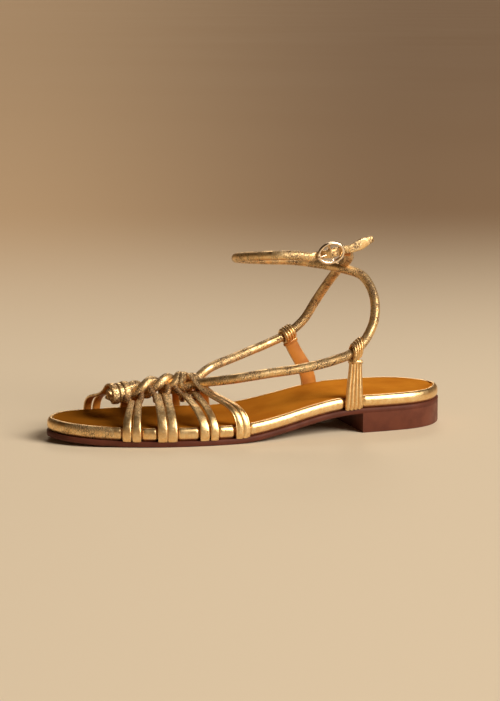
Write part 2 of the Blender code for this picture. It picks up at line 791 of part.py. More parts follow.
def build():
    """Makes every piece of the sandal."""
    for old in list(bpy.data.objects):
        bpy.data.objects.remove(old)
    parts = new_collection("gladiator_sandal")
    pieces = new_collection("upper_pieces")
    cutters = new_collection("cutters")

    step = EDGE_CHAMFER
    tread = ((step - WELT_OUT, 0.0), (-WELT_OUT, step), (-WELT_OUT, OUTSOLE_T))
    sole = layer("outsole", tread, underside, parts)
    finish(sole, "dark_sole_leather", (0.055, 0.018, 0.011), 0.55, 0.0)
    finish(heel_block(parts), "red_brown_heel_leather", (0.13, 0.040, 0.024), 0.45, 0.0)
    footbed = layer("footbed", rolled_profile(), footbed_base, parts)
    finish(footbed, "gold_edge_leather", (0.78, 0.52, 0.22), 0.32, 0.85, 60.0)
    margin, soft = INSOLE_MARGIN, 0.3 * INSOLE_T
    sheet = ((margin, 0.0), (margin, INSOLE_T - soft), (margin + soft, INSOLE_T))
    finish(layer("insole", sheet, insole_base, parts), "tan_insole", (0.62, 0.24, 0.05), 0.38, 0.0)

    gold = (0.80, 0.55, 0.25)
    finish(upper(parts, pieces, cutters), "gold_strap_leather", gold, 0.35, 0.85)
    for name, row in STIRRUPS.items():
        finish(stirrup(name, row, parts, cutters), name + "_leather", gold, 0.36, 0.85)
    finish(buckle_frame(parts, cutters), "pale_gold_ring", (0.93, 0.74, 0.48), 0.2, 1.0, 60.0)
    finish(buckle_prong(parts, cutters), "pale_gold_prong", (0.93, 0.76, 0.52), 0.2, 1.0, 60.0)


build()
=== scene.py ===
"""Looks of the gladiator sandal: gold leather, twisted cords, sole and buckle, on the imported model."""

import functools
import logging
import math
from collections.abc import Callable, Sequence
from dataclasses import dataclass, field
from enum import Enum
from typing import NamedTuple

import bmesh
import bpy
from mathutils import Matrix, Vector

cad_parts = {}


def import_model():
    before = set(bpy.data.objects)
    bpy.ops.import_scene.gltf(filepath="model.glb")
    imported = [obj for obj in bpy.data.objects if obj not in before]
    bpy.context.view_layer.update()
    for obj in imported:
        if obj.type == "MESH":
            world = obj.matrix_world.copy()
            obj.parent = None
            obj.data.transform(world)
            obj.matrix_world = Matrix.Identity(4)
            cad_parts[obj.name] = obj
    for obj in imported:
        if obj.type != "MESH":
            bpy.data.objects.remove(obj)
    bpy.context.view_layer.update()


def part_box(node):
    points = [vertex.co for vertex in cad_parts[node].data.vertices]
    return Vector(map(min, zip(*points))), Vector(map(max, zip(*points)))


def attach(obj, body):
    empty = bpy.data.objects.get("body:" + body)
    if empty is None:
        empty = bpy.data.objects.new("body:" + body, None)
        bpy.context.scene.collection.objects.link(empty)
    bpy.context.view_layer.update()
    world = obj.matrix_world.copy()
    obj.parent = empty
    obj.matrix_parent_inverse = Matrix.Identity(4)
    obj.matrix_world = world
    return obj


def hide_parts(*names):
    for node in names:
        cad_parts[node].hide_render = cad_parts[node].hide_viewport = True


LOG = logging.getLogger("sandal")
ATTRIBUTE = "leather_at"
# Vertex value for how cracked the foil is: creasing, and on the straps also painted shade on their upper
# parts.
CREASE_AND_SHADE = "crease_and_shade"
MM = 0.001
UP = Vector((0.0, 0.0, 1.0))

Section = list[tuple[float, float]]
Color = tuple[float, float, float]


class Side(Enum):
    """Side of the foot, as the sign of its Y."""

    OUTER = 1
    INNER = -1


class Face(Enum):
    """Material slot of a strap's faces."""

    FOIL = 0
    LINING = 1


class OutlineRow(NamedTuple):
    """Plan outline at one station, as shares of the length and of both ball widths."""

    along: float
    outer: float
    inner: float


class SpineRow(NamedTuple):
    """Centre of the spine: share of the length, share of the instep height."""

    along: float
    height: float


class Route(NamedTuple):
    """Cord point: share of the length, of the ankle's half width and of the rise to its top."""

    along: float
    side: float
    rise: float


class Loop(NamedTuple):
    """Side loop of the spine: its side, share of the length and share of the longest loop."""

    side: Side
    along: float
    length: float


class StrapRow(NamedTuple):
    """Cage strap: base, what its top goes round, shift on the loop, width shares, turn, strands."""

    side: Side
    base: float
    hold: str | float
    shift: float
    base_w: float
    top_w: float
    turn: float
    strands: int


class Grip(NamedTuple):
    """How a strap reaches its hold: the angle in degrees, and the share of the rise it climbs first."""

    arrive: float
    lift: float


class StirrupRow(NamedTuple):
    """Stirrup: base, the route row that its loop holds, width shares and strands."""

    side: Side
    base: float
    row: int
    base_w: float
    top_w: float
    strands: int


OUTLINE = (
    OutlineRow(0.015, 0.282, 0.273),
    OutlineRow(0.050, 0.544, 0.530),
    OutlineRow(0.100, 0.704, 0.688),
    OutlineRow(0.180, 0.772, 0.738),
    OutlineRow(0.280, 0.789, 0.681),
    OutlineRow(0.380, 0.852, 0.609),
    OutlineRow(0.460, 0.928, 0.630),
    OutlineRow(0.540, 0.993, 0.703),
    OutlineRow(0.620, 1.000, 0.832),
    OutlineRow(0.680, 0.973, 0.920),
    OutlineRow(0.740, 0.912, 0.988),
    OutlineRow(0.800, 0.816, 0.997),
    OutlineRow(0.860, 0.684, 0.944),
    OutlineRow(0.910, 0.556, 0.843),
    OutlineRow(0.950, 0.407, 0.690),
    OutlineRow(0.980, 0.222, 0.450),
)

SPINE = (
    SpineRow(0.854, 0.820),
    SpineRow(0.820, 0.842),
    SpineRow(0.775, 0.905),
    SpineRow(0.731, 0.966),
    SpineRow(0.690, 0.985),
    SpineRow(0.645, 0.925),
)

LOOPS = {
    "outer_toe": Loop(Side.OUTER, 0.797, 0.73),
    "outer_ball": Loop(Side.OUTER, 0.732, 0.80),
    "outer_vamp": Loop(Side.OUTER, 0.661, 1.00),
    "inner_ball": Loop(Side.INNER, 0.757, 0.80),
    "inner_vamp": Loop(Side.INNER, 0.692, 1.00),
}

STRAPS = {
    "toe_outer_front": StrapRow(Side.OUTER, 0.839, "outer_toe", 0.19, 0.96, 0.64, 230, 1),
    "toe_outer_rear": StrapRow(Side.OUTER, 0.817, "outer_toe", -0.19, 0.96, 0.64, 230, 1),
    "ball_outer_front": StrapRow(Side.OUTER, 0.758, "outer_ball", 0.23, 1.04, 0.86, 230, 1),
    "ball_outer_rear": StrapRow(Side.OUTER, 0.735, "outer_ball", -0.23, 1.04, 0.86, 230, 1),
    "vamp_outer_front": StrapRow(Side.OUTER, 0.659, "outer_vamp", 0.24, 1.00, 0.86, 230, 1),
    "vamp_outer_rear": StrapRow(Side.OUTER, 0.635, "outer_vamp", -0.24, 0.89, 0.79, 230, 1),
    "throat_outer": StrapRow(Side.OUTER, 0.565, 0.646, 0.0, 1.61, 1.29, 260, 2),
    "toe_inner_front": StrapRow(Side.INNER, 0.867, 0.848, 0.0, 0.96, 0.82, 560, 1),
    "toe_inner_rear": StrapRow(Side.INNER, 0.843, 0.814, 0.0, 0.96, 0.82, 290, 1),
    "ball_inner_front": StrapRow(Side.INNER, 0.771, "inner_ball", 0.23, 1.04, 0.86, 230, 1),
    "ball_inner_rear": StrapRow(Side.INNER, 0.747, "inner_ball", -0.23, 1.04, 0.86, 230, 1),
    "vamp_inner_front": StrapRow(Side.INNER, 0.666, "inner_vamp", 0.24, 1.00, 0.86, 230, 1),
    "vamp_inner_rear": StrapRow(Side.INNER, 0.642, "inner_vamp", -0.24, 0.89, 0.79, 230, 1),
    "throat_inner": StrapRow(Side.INNER, 0.578, 0.670, 0.0, 1.61, 1.25, 260, 2),
}

OUTER_ROUTE = (
    Route(0.560, 0.667, 0.035),
    Route(0.478, 0.800, 0.072),
    Route(0.394, 0.900, 0.104),
    Route(0.317, 0.967, 0.156),
    Route(0.262, 1.000, 0.224),
    Route(0.213, 0.867, 0.405),
    Route(0.198, 0.667, 0.570),
    Route(0.200, 0.400, 0.692),
    Route(0.214, 0.167, 0.768),
    Route(0.256, -0.067, 0.812),
    Route(0.300, -0.667, 0.830),
    Route(0.345, -0.900, 0.845),
    Route(0.408, -0.933, 0.856),
    Route(0.480, -0.640, 0.885),
    Route(0.526, -0.060, 0.925),
    Route(0.505, 0.640, 0.965),
    Route(0.455, 0.960, 0.980),
    Route(0.405, 1.000, 0.974),
)
INNER_ROUTE = (
    Route(0.590, -0.267, 0.060),
    Route(0.502, -0.600, 0.124),
    Route(0.409, -0.867, 0.198),
    Route(0.357, -0.967, 0.256),
    Route(0.313, -1.000, 0.360),
    Route(0.285, -0.900, 0.513),
    Route(0.261, -0.600, 0.690),
    Route(0.250, -0.200, 0.815),
    Route(0.250, 0.250, 0.895),
    Route(0.263, 0.640, 0.955),
)
BUCKLE_AT = Route(0.328, 1.000, 0.985)
TIP_ROUTE = (
    Route(0.276, 0.950, 1.010),
    Route(0.246, 0.900, 1.040),
    Route(0.213, 0.840, 1.077),
)

STIRRUPS = {
    "stirrup_outer": (OUTER_ROUTE, StirrupRow(Side.OUTER, 0.270, 4, 1.00, 0.70, 4)),
    "stirrup_inner": (INNER_ROUTE, StirrupRow(Side.INNER, 0.300, 3, 0.93, 0.76, 4)),
}


# Curves and meshes

# Height of a strap's raised strands, by their number
STRAND_RELIEF = {1: 0.0, 2: 0.45 * MM, 4: 0.75 * MM}
# Shares of a strap's thickness: rise of its crown, and width of its soft edges
CROWN_RISE = 0.10
SOFT_EDGE = 0.42
# How sharply the insole's dish falls off from its border
DISH_CURVE = 0.7


def clamp(share: float) -> float:
    """Share kept within 0 and 1."""
    return min(1.0, max(0.0, share))


def ease(share: float) -> float:
    """Share kept within 0 and 1, with a soft start and end."""
    share = clamp(share)
    return share * share * (3.0 - 2.0 * share)


def full_turn(count: int) -> list[float]:
    """Evenly spaced angles once round a circle."""
    return [2.0 * math.pi * step / count for step in range(count)]


def catmull(before: Vector, start: Vector, end: Vector, after: Vector, share: float) -> Vector:
    """Point between start and end on a centripetal curve through four points.

    Args:
        before: Point before the span.
        start: First point of the span.
        end: Last point of the span.
        after: Point after the span.
        share: Place within the span, 0 to 1.

    Returns:
        The point on the curve.
    """
    gaps = [math.sqrt((q - p).length) for p, q in ((before, start), (start, end), (end, after))]
    first, middle, last = (max(gap, 1e-6) for gap in gaps)
    leave = (end - start) + middle * ((start - before) / first - (end - before) / (first + middle))
    reach = (end - start) + middle * ((after - end) / last - (after - start) / (middle + last))
    square = share * share
    cube = square * share
    return (
        (2 * cube - 3 * square + 1) * start
        + (cube - 2 * square + share) * leave
        + (3 * square - 2 * cube) * end
        + (cube - square) * reach
    )


def smooth(points: Sequence[Vector], steps: int, closed: bool = False) -> list[Vector]:
    """Smooth curve through points.

    Args:
        points: Points that the curve goes through.
        steps: Pieces to each span.
        closed: Whether the curve runs back to its start.

    Returns:
        Points along the curve.
    """
    count = len(points)
    if closed:
        spans = [[points[(i + k) % count] for k in (-1, 0, 1, 2)] for i in range(count)]
    else:
        row = [2 * points[0] - points[1], *points, 2 * points[-1] - points[-2]]
        spans = [row[i:i + 4] for i in range(count - 1)]
    curve = [catmull(*span, step / steps) for span in spans for step in range(steps)]
    return curve if closed else [*curve, points[-1].copy()]


def bezier(start: Vector, leave: Vector, reach: Vector, end: Vector, steps: int) -> list[Vector]:
    """Cubic curve after its start, up to and with its end.

    Args:
        start: First point, which isn't returned.
        leave: Handle of the start.
        reach: Handle of the end.
        end: Last point.
        steps: Number of points returned.

    Returns:
        Points along the curve.
    """
    points = []
    for step in range(1, steps + 1):
        share = step / steps
        rest = 1.0 - share
        near = rest ** 3 * start + 3 * rest ** 2 * share * leave
        points.append(near + 3 * rest * share ** 2 * reach + share ** 3 * end)
    return points


def tangents(path: Sequence[Vector], closed: bool = False) -> list[Vector]:
    """Unit directions along a path, one for each point.

    Args:
        path: Points of the path.
        closed: Whether the path runs back to its start.

    Returns:
        Directions towards the path's end.
    """
    count = len(path)
    found = []
    for i in range(count):
        ahead = path[(i + 1) % count] if closed else path[min(i + 1, count - 1)]
        behind = path[i - 1] if closed or i else path[0]
        found.append((ahead - behind).normalized())
    return found


def carried(path: Sequence[Vector], first: Vector) -> list[Vector]:
    """Cross directions that follow a path without turning round it.

    Args:
        path: Points of the path.
        first: Cross direction wanted at its first point.

    Returns:
        One unit direction for each point, at right angles to the path.
    """
    across, found = first, []
    for run in tangents(path):
        across = (across - across.dot(run) * run).normalized()
        found.append(across)
    return found


def round_section(radius: float, count: int = 16) -> Section:
    """Circle that starts at the back of the section, where its seam is hidden.

    Args:
        radius: Radius of the circle.
        count: Number of points.

    Returns:
        Points of the section.
    """
    turns = [2.0 * math.pi * (k / count - 0.25) for k in range(count)]
    return [(radius * math.cos(turn), radius * math.sin(turn)) for turn in turns]


def strap_section(width: float, thickness: float, strands: int = 1) -> Section:
    """Section of a leather strip: a soft crown or raised strands on a flat back.

    Args:
        width: Whole width.
        thickness: Thickness at the edges of the crown.
        strands: Number of raised strands.

    Returns:
        Points of the section, from the left of its crown round to the left edge.
    """
    crown, relief = CROWN_RISE * thickness, STRAND_RELIEF[strands]
    half, soft = 0.5 * width, SOFT_EDGE * thickness
    count = 8 * strands
    top = []
    for k in range(count + 1):
        share = k / count
        dome = crown * (1.0 - (2.0 * share - 1.0) ** 2)
        ridge = relief * (abs(math.sin(math.pi * strands * share)) ** 0.5 - 0.6)
        top.append(((share - 0.5) * (width - 2.0 * soft), 0.5 * thickness + dome + ridge))
    near, level = half - 0.3 * soft, 0.5 * thickness - 0.35 * soft
    right = [(near, level), (half, 0.0), (near, -level)]
    back = [(half - soft, -0.5 * thickness), (0.0, -0.5 * thickness), (soft - half, -0.5 * thickness)]
    left = [(-near, -level), (-half, 0.0), (-near, level)]
    return [*top, *right, *back, *left]


def toward_round(section: Section, radius: float, flat: float) -> Section:
    """Section between a circle and a strap section with the same number of points.

    Args:
        section: The strap section.
        radius: The circle's radius.
        flat: Share of the strap section, 0 for the circle.

    Returns:
        The blended section.
    """
    wide = max(u for u, _ in section)
    high = max(w for _, w in section)
    blended = []
    for u, w in section:
        way = Vector((u / wide, w / high)).normalized() * radius
        blended.append((way.x + (u - way.x) * flat, way.y + (w - way.y) * flat))
    return blended


def new_object(name: str, bm: bmesh.types.BMesh, sharp: float = 50.0) -> bpy.types.Object:
    """Object that takes over a bmesh, faces out and shaded smooth.

    Args:
        name: Name of the piece.
        bm: Its mesh, which is freed.
        sharp: Angle in degrees above which an edge stays sharp.

    Returns:
        The linked object.
    """
    bmesh.ops.recalc_face_normals(bm, faces=bm.faces)
    mesh = bpy.data.meshes.new(name)
    bm.to_mesh(mesh)
    bm.free()
    mesh.shade_smooth()
    mesh.set_sharp_from_angle(angle=math.radians(sharp))
    piece = bpy.data.objects.new(name, mesh)
    bpy.context.scene.collection.objects.link(piece)
    return piece


def sweep(
    name: str,
    path: Sequence[Vector],
    across: Sequence[Vector],
    sections: Sequence[Section],
    closed: bool = False,
    crease_and_shade: Sequence[float] | None = None,
) -> bpy.types.Object:
    """Solid that carries a section along a path, with its leather coordinates.

    Args:
        name: Name of the piece, which also shifts its leather pattern.
        path: Points of the centre line.
        across: Cross direction at each point.
        sections: Section at each point.
        closed: Whether the path runs back to its start.
        crease_and_shade: How cracked the foil is at each point, half where it isn't given; it carries
            creasing, and on the straps also painted shade on their upper parts.

    Returns:
        The object. Its flat back has the lining's slot.
    """
    bm = bmesh.new()
    place = bm.verts.layers.float_vector.new(ATTRIBUTE)
    # Crack share: creasing, and on the straps also painted shade towards their tops.
    wear_and_shade = bm.verts.layers.float.new(CREASE_AND_SHADE)
    run = 0.013 * sum(map(ord, name))
    rings = []
    for i, (point, ahead, wide, section) in enumerate(zip(path, tangents(path, closed), across, sections)):
        run += (point - path[i - 1]).length if i else 0.0
        side = wide.normalized()
        face = ahead.cross(side).normalized()
        ring = []
        for u, w in section:
            vert = bm.verts.new(point + u * side + w * face)
            vert[place] = Vector((run, u, w))
            vert[wear_and_shade] = crease_and_shade[i] if crease_and_shade else 0.5
            ring.append(vert)
        rings.append(ring)
    size = len(sections[0])
    pairs = list(zip(rings, rings[1:]))
    if closed:
        pairs.append((rings[-1], rings[0]))
    for index, (near, far) in enumerate(pairs):
        back = min(w for _, w in sections[index])
        flat = sum(1 for _, w in sections[index] if w == back) > 1
        for j in range(size):
            k = (j + 1) % size
            quad = bm.faces.new((near[j], near[k], far[k], far[j]))
            lined = flat and sections[index][j][1] == back == sections[index][k][1]
            quad.material_index = Face.LINING.value if lined else Face.FOIL.value
    if not closed:
        bm.faces.new(rings[0])
        bm.faces.new(rings[-1])
    return new_object(name, bm)


def wall(bm: bmesh.types.BMesh, rings: Sequence[list[bmesh.types.BMVert]]) -> None:
    """Closed bands of quads from each ring to the next."""
    count = min(len(ring) for ring in rings)
    for lower, upper in zip(rings, rings[1:]):
        for i in range(count):
            j = (i + 1) % count
            bm.faces.new((lower[i], lower[j], upper[j], upper[i]))


def joined(name: str, pieces: Sequence[bpy.types.Object]) -> bpy.types.Object:
    """One object from several that share their material slots.

    Args:
        name: Name of the joined piece.
        pieces: Objects to join.

    Returns:
        The joined object.
    """
    with bpy.context.temp_override(active_object=pieces[0], selected_editable_objects=list(pieces)):
        bpy.ops.object.join()
    pieces[0].name = name
    return pieces[0]


def place(piece: bpy.types.Object, slot: str, *nodes: str) -> bpy.types.Object:
    """Puts a finished piece on the frame and reports it.

    Args:
        piece: The piece.
        slot: Name of the record's material slot; not used.
        nodes: CAD nodes that it stands for.

    Returns:
        The piece.
    """
    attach(piece, "root")
    if nodes:
        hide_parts(*nodes)
    LOG.info("%s: %d faces", piece.name, len(piece.data.polygons))
    return piece


# Shader groups and finishes


class Shader:
    """Small helper that adds and links nodes in one node tree."""

    def __init__(self, tree: bpy.types.NodeTree) -> None:
        """Keeps the tree that nodes are added to."""
        self.tree = tree

    def add(self, kind: str, settings: dict | None = None, **inputs: object) -> bpy.types.Node:
        """Adds a node.

        Args:
            kind: Type of the node, without its ShaderNode prefix.
            settings: Properties of the node.
            inputs: Values or sockets by input name, with _ for a space.

        Returns:
            The node.
        """
        node = self.tree.nodes.new("ShaderNode" + kind)
        for key, value in (settings or {}).items():
            setattr(node, key, value)
        return self.fill(node, **inputs)

    def fill(self, node: bpy.types.Node, **inputs: object) -> bpy.types.Node:
        """Links or sets a node's inputs by name, with _ for a space."""
        for key, value in inputs.items():
            self.feed(node.inputs[key.replace("_", " ")], value)
        return node

    def bump(self, height: object, strength: float, distance: float) -> bpy.types.NodeSocket:
        """Normal of a Bump node."""
        return self.add("Bump", None, Strength=strength, Distance=distance, Height=height).outputs[0]

    def feed(self, socket: bpy.types.NodeSocket, value: object) -> None:
        """Links a socket to an input, or sets the input's own value."""
        if isinstance(value, bpy.types.NodeSocket):
            self.tree.links.new(value, socket)
        else:
            socket.default_value = value

    def math(self, operation: str, first: object, second: object = 0.0) -> bpy.types.NodeSocket:
        """Result of a Math node."""
        node = self.add("Math", {"operation": operation})
        self.feed(node.inputs[0], first)
        self.feed(node.inputs[1], second)
        return node.outputs[0]

    def ramp(self, value: object, low: float, high: float, start: float, end: float) -> bpy.types.NodeSocket:
        """Smooth change from start to end as a value goes from low to high."""
        node = self.add("MapRange", {"interpolation_type": "SMOOTHSTEP"}, Value=value)
        for key, number in (("From Min", low), ("From Max", high), ("To Min", start), ("To Max", end)):
            node.inputs[key].default_value = number
        return node.outputs[0]

    def mix(self, share: object, first: object, second: object) -> bpy.types.NodeSocket:
        """Colour between two colours."""
        node = self.add("Mix", {"data_type": "RGBA"})
        self.feed(node.inputs[0], share)
        for socket, value in ((node.inputs[6], first), (node.inputs[7], second)):
            self.feed(socket, (*value, 1.0) if isinstance(value, tuple) else value)
        return node.outputs[2]

    def noise(self, at: object, scale: float, detail: float = 3.0) -> bpy.types.NodeSocket:
        """Value of a Noise texture."""
        return self.add("TexNoise", None, Vector=at, Scale=scale, Detail=detail).outputs[0]


def new_group(
    name: str,
    inputs: dict[str, tuple[str, object]],
    outputs: dict[str, str],
) -> bpy.types.NodeTree:
    """Shader node group with named sockets.

    Args:
        name: Name of the group.
        inputs: Socket type and default by input name.
        outputs: Socket type by output name.

    Returns:
        The empty group.
    """
    tree = bpy.data.node_groups.new(name, "ShaderNodeTree")
    for title, (kind, value) in inputs.items():
        socket = tree.interface.new_socket(title, in_out="INPUT", socket_type="NodeSocket" + kind)
        if value is not None:
            socket.default_value = value
    for title, kind in outputs.items():
        tree.interface.new_socket(title, in_out="OUTPUT", socket_type="NodeSocket" + kind)
    return tree


@functools.cache
def foil_cracks() -> bpy.types.NodeTree:
    """Group for cracked metal foil: a crack mask, a tint for each flake and a height."""
    tree = new_group(
        "foil_cracks",
        {
            "At": ("Vector", None),
            "Flake": ("Float", 1.1 * MM),
            "Stretch": ("Float", 1.7),
            "Crack": ("Float", 0.11),
            "Patch": ("Float", 0.55),
            "Creased": ("Float", 0.5),
        },
        {"Crack": "Float", "Tint": "Float", "Height": "Float"},
    )
    shader = Shader(tree)
    given = tree.nodes.new("NodeGroupInput").outputs
    out = tree.nodes.new("NodeGroupOutput")
    along = shader.math("DIVIDE", 1.0, given["Flake"])
    across = shader.math("DIVIDE", along, given["Stretch"])
    scale = shader.add("CombineXYZ", None, X=along, Y=across, Z=across).outputs[0]
    flat = shader.add("VectorMath", {"operation": "MULTIPLY"})
    shader.feed(flat.inputs[0], given["At"])
    shader.feed(flat.inputs[1], scale)
    bend = shader.add("TexNoise", None, Vector=flat.outputs[0], Scale=0.9, Detail=2.0)
    bent = shader.add("VectorMath", {"operation": "MULTIPLY_ADD"})
    shader.feed(bent.inputs[0], bend.outputs[1])
    shader.feed(bent.inputs[1], (1.1, 1.1, 1.1))
    shader.feed(bent.inputs[2], flat.outputs[0])
    edge = {"feature": "DISTANCE_TO_EDGE"}
    gap = shader.add("TexVoronoi", edge, Vector=bent.outputs[0], Scale=1.0).outputs["Distance"]
    fine = shader.add("TexVoronoi", edge, Vector=bent.outputs[0], Scale=2.7).outputs["Distance"]
    flake = shader.add("TexVoronoi", {"feature": "F1"}, Vector=bent.outputs[0], Scale=1.0)
    tint = shader.add("SeparateColor", None, Color=flake.outputs["Color"]).outputs[0]
    open_share = shader.math("DIVIDE", gap, given["Crack"])
    crack = shader.ramp(open_share, 0.25, 1.0, 1.0, 0.0)
    hair = shader.ramp(fine, 0.02, 0.09, 0.55, 0.0)
    both = shader.math("MAXIMUM", crack, hair)
    # More cracks where the value is high: creasing, and on the straps also painted shade on their upper
    # parts.
    bends_and_shade = shader.math("MULTIPLY", given["Creased"], 0.50)
    spread = shader.math("ADD", shader.noise(given["At"], 170.0, 4.0), bends_and_shade)
    worn = shader.ramp(shader.math("SUBTRACT", spread, given["Patch"]), 0.0, 0.30, 0.10, 1.0)
    mask = shader.math("MULTIPLY", both, worn)
    grain = shader.noise(given["At"], 2600.0, 2.0)
    lift = shader.math("MULTIPLY", tint, 0.30)
    sunk = shader.math("MULTIPLY", both, shader.math("ADD", worn, 0.25))
    height = shader.math("ADD", shader.math("SUBTRACT", lift, sunk), shader.math("MULTIPLY", grain, 0.15))
    for title, value in (("Crack", mask), ("Tint", tint), ("Height", height)):
        shader.feed(out.inputs[title], value)
    return tree


@functools.cache
def leather_grain() -> bpy.types.NodeTree:
    """Group for smooth leather: soft blotches of colour, and pores as a height."""
    tree = new_group(
        "leather_grain",
        {"At": ("Vector", None), "Pore": ("Float", 0.5 * MM), "Blotch": ("Float", 9.0 * MM)},
        {"Blotch": "Float", "Height": "Float"},
    )
    shader = Shader(tree)
    given = tree.nodes.new("NodeGroupInput").outputs
    out = tree.nodes.new("NodeGroupOutput")
    pores = shader.math("DIVIDE", 1.0, given["Pore"])
    blotch = shader.math("DIVIDE", 1.0, given["Blotch"])
    cells = shader.add("TexVoronoi", {"feature": "SMOOTH_F1"}, Vector=given["At"], Scale=pores)
    soft = shader.add("TexNoise", None, Vector=given["At"], Scale=blotch, Detail=4.0).outputs[0]
    shader.feed(out.inputs["Blotch"], shader.ramp(soft, 0.30, 0.70, 0.0, 1.0))
    shader.feed(out.inputs["Height"], cells.outputs["Distance"])
    return tree


def new_material(name: str) -> tuple[bpy.types.Material, Shader, bpy.types.Node]:
    """Material with its Principled BSDF.

    Args:
        name: Name of the material.

    Returns:
        The material, a helper for its nodes, and its Principled BSDF.
    """
    material = bpy.data.materials.new(name)
    material.use_nodes = True
    shader = Shader(material.node_tree)
    return material, shader, material.node_tree.nodes["Principled BSDF"]


@dataclass(frozen=True)
class CrackedFoil:
    """Leather with a cracked metal foil on it."""

    name: str
    pale: Color = (1.0, 0.77, 0.43)
    deep: Color = (0.90, 0.53, 0.19)
    crack: Color = (0.070, 0.026, 0.009)
    flake: float = 1.0 * MM
    stretch: float = 1.7
    width: float = 0.12
    patch: float = 0.66
    roughness: float = 0.29
    depth: float = 0.055 * MM
    crack_dull: float = 0.34
    crack_metal: float = 0.15

    def make(self) -> bpy.types.Material:
        """Builds the material."""
        material, shader, principled = new_material(self.name)
        at = shader.add("Attribute", {"attribute_name": ATTRIBUTE}).outputs["Vector"]
        crease_and_shade = shader.add("Attribute", {"attribute_name": CREASE_AND_SHADE}).outputs["Fac"]
        sizes = {"Flake": self.flake, "Stretch": self.stretch, "Crack": self.width, "Patch": self.patch}
        cracks = shader.add("Group", {"node_tree": foil_cracks()}, At=at, Creased=crease_and_shade, **sizes).outputs
        soft = shader.noise(at, 90.0, 3.0)
        tone = shader.math("MULTIPLY_ADD", cracks["Tint"], 0.45)
        tone.node.inputs[2].default_value = -0.05
        tone = shader.math("ADD", tone, shader.math("MULTIPLY", soft, 0.75))
        foil = shader.mix(tone, self.deep, self.pale)
        dull = shader.ramp(cracks["Crack"], 0.0, 1.0, self.roughness, self.roughness + self.crack_dull)
        uneven = shader.math("MULTIPLY", cracks["Tint"], 0.10)
        shader.fill(
            principled,
            Base_Color=shader.mix(cracks["Crack"], foil, self.crack),
            Roughness=shader.math("ADD", dull, uneven),
            Metallic=shader.ramp(cracks["Crack"], 0.0, 1.0, 1.0, self.crack_metal),
            Normal=shader.bump(cracks["Height"], 0.8, self.depth),
        )
        return material


@dataclass(frozen=True)
class SmoothLeather:
    """Dyed leather with pores, soft blotches and a thin glaze, that can be darkened towards the toe with
    painted shade.
    """

    name: str
    light: Color
    dark: Color
    roughness: float = 0.40
    glaze: float = 0.0
    specular: float = 0.5
    # Painted shade towards the toe, partly also wear: its strength, where it starts and ends along X, and
    # its colour as a share of the dark colour.
    toe_painted_shade: float = 0.0
    painted_shade_from: float = 60.0 * MM
    painted_shade_to: float = 200.0 * MM
    painted_shade_depth: float = 0.30
    glaze_roughness: float = 0.22
    pore: float = 0.5 * MM
    blotch: float = 9.0 * MM
    depth: float = 0.05 * MM

    def make(self) -> bpy.types.Material:
        """Builds the material."""
        material, shader, principled = new_material(self.name)
        at = shader.add("TexCoord").outputs["Object"]
        sizes = {"Pore": self.pore, "Blotch": self.blotch}
        grain = shader.add("Group", {"node_tree": leather_grain()}, At=at, **sizes).outputs
        color = shader.mix(grain["Blotch"], self.dark, self.light)
        # Painted shade: darkens the colour towards the toe for the straps' shade, partly also wear.
        if self.toe_painted_shade:
            ahead = shader.add("SeparateXYZ", None, Vector=at).outputs["X"]
            shade = shader.ramp(ahead, self.painted_shade_from, self.painted_shade_to, 0.0, self.toe_painted_shade)
            color = shader.mix(shade, color, tuple(self.painted_shade_depth * part for part in self.dark))
        shader.fill(
            principled,
            Base_Color=color,
            Roughness=shader.ramp(grain["Blotch"], 0.0, 1.0, self.roughness + 0.05, self.roughness - 0.05),
            Specular_IOR_Level=self.specular,
            Coat_Weight=self.glaze,
            Coat_Roughness=self.glaze_roughness,
            Normal=shader.bump(grain["Height"], 0.5, self.depth),
        )
        return material


@dataclass(frozen=True)
class PolishedMetal:
    """Polished plating with faint rub marks."""

    name: str
    color: Color
    worn: Color
    roughness: float = 0.14

    def make(self) -> bpy.types.Material:
        """Builds the material."""
        material, shader, principled = new_material(self.name)
        at = shader.add("TexCoord").outputs["Object"]
        rub = shader.noise(at, 900.0, 5.0)
        marks = shader.ramp(rub, 0.45, 0.75, 0.0, 1.0)
        dull = shader.ramp(rub, 0.3, 0.8, self.roughness, self.roughness + 0.14)
        plating = shader.mix(marks, self.color, self.worn)
        shader.fill(principled, Base_Color=plating, Roughness=dull, Metallic=1.0)
        return material


Finish = CrackedFoil | SmoothLeather | PolishedMetal


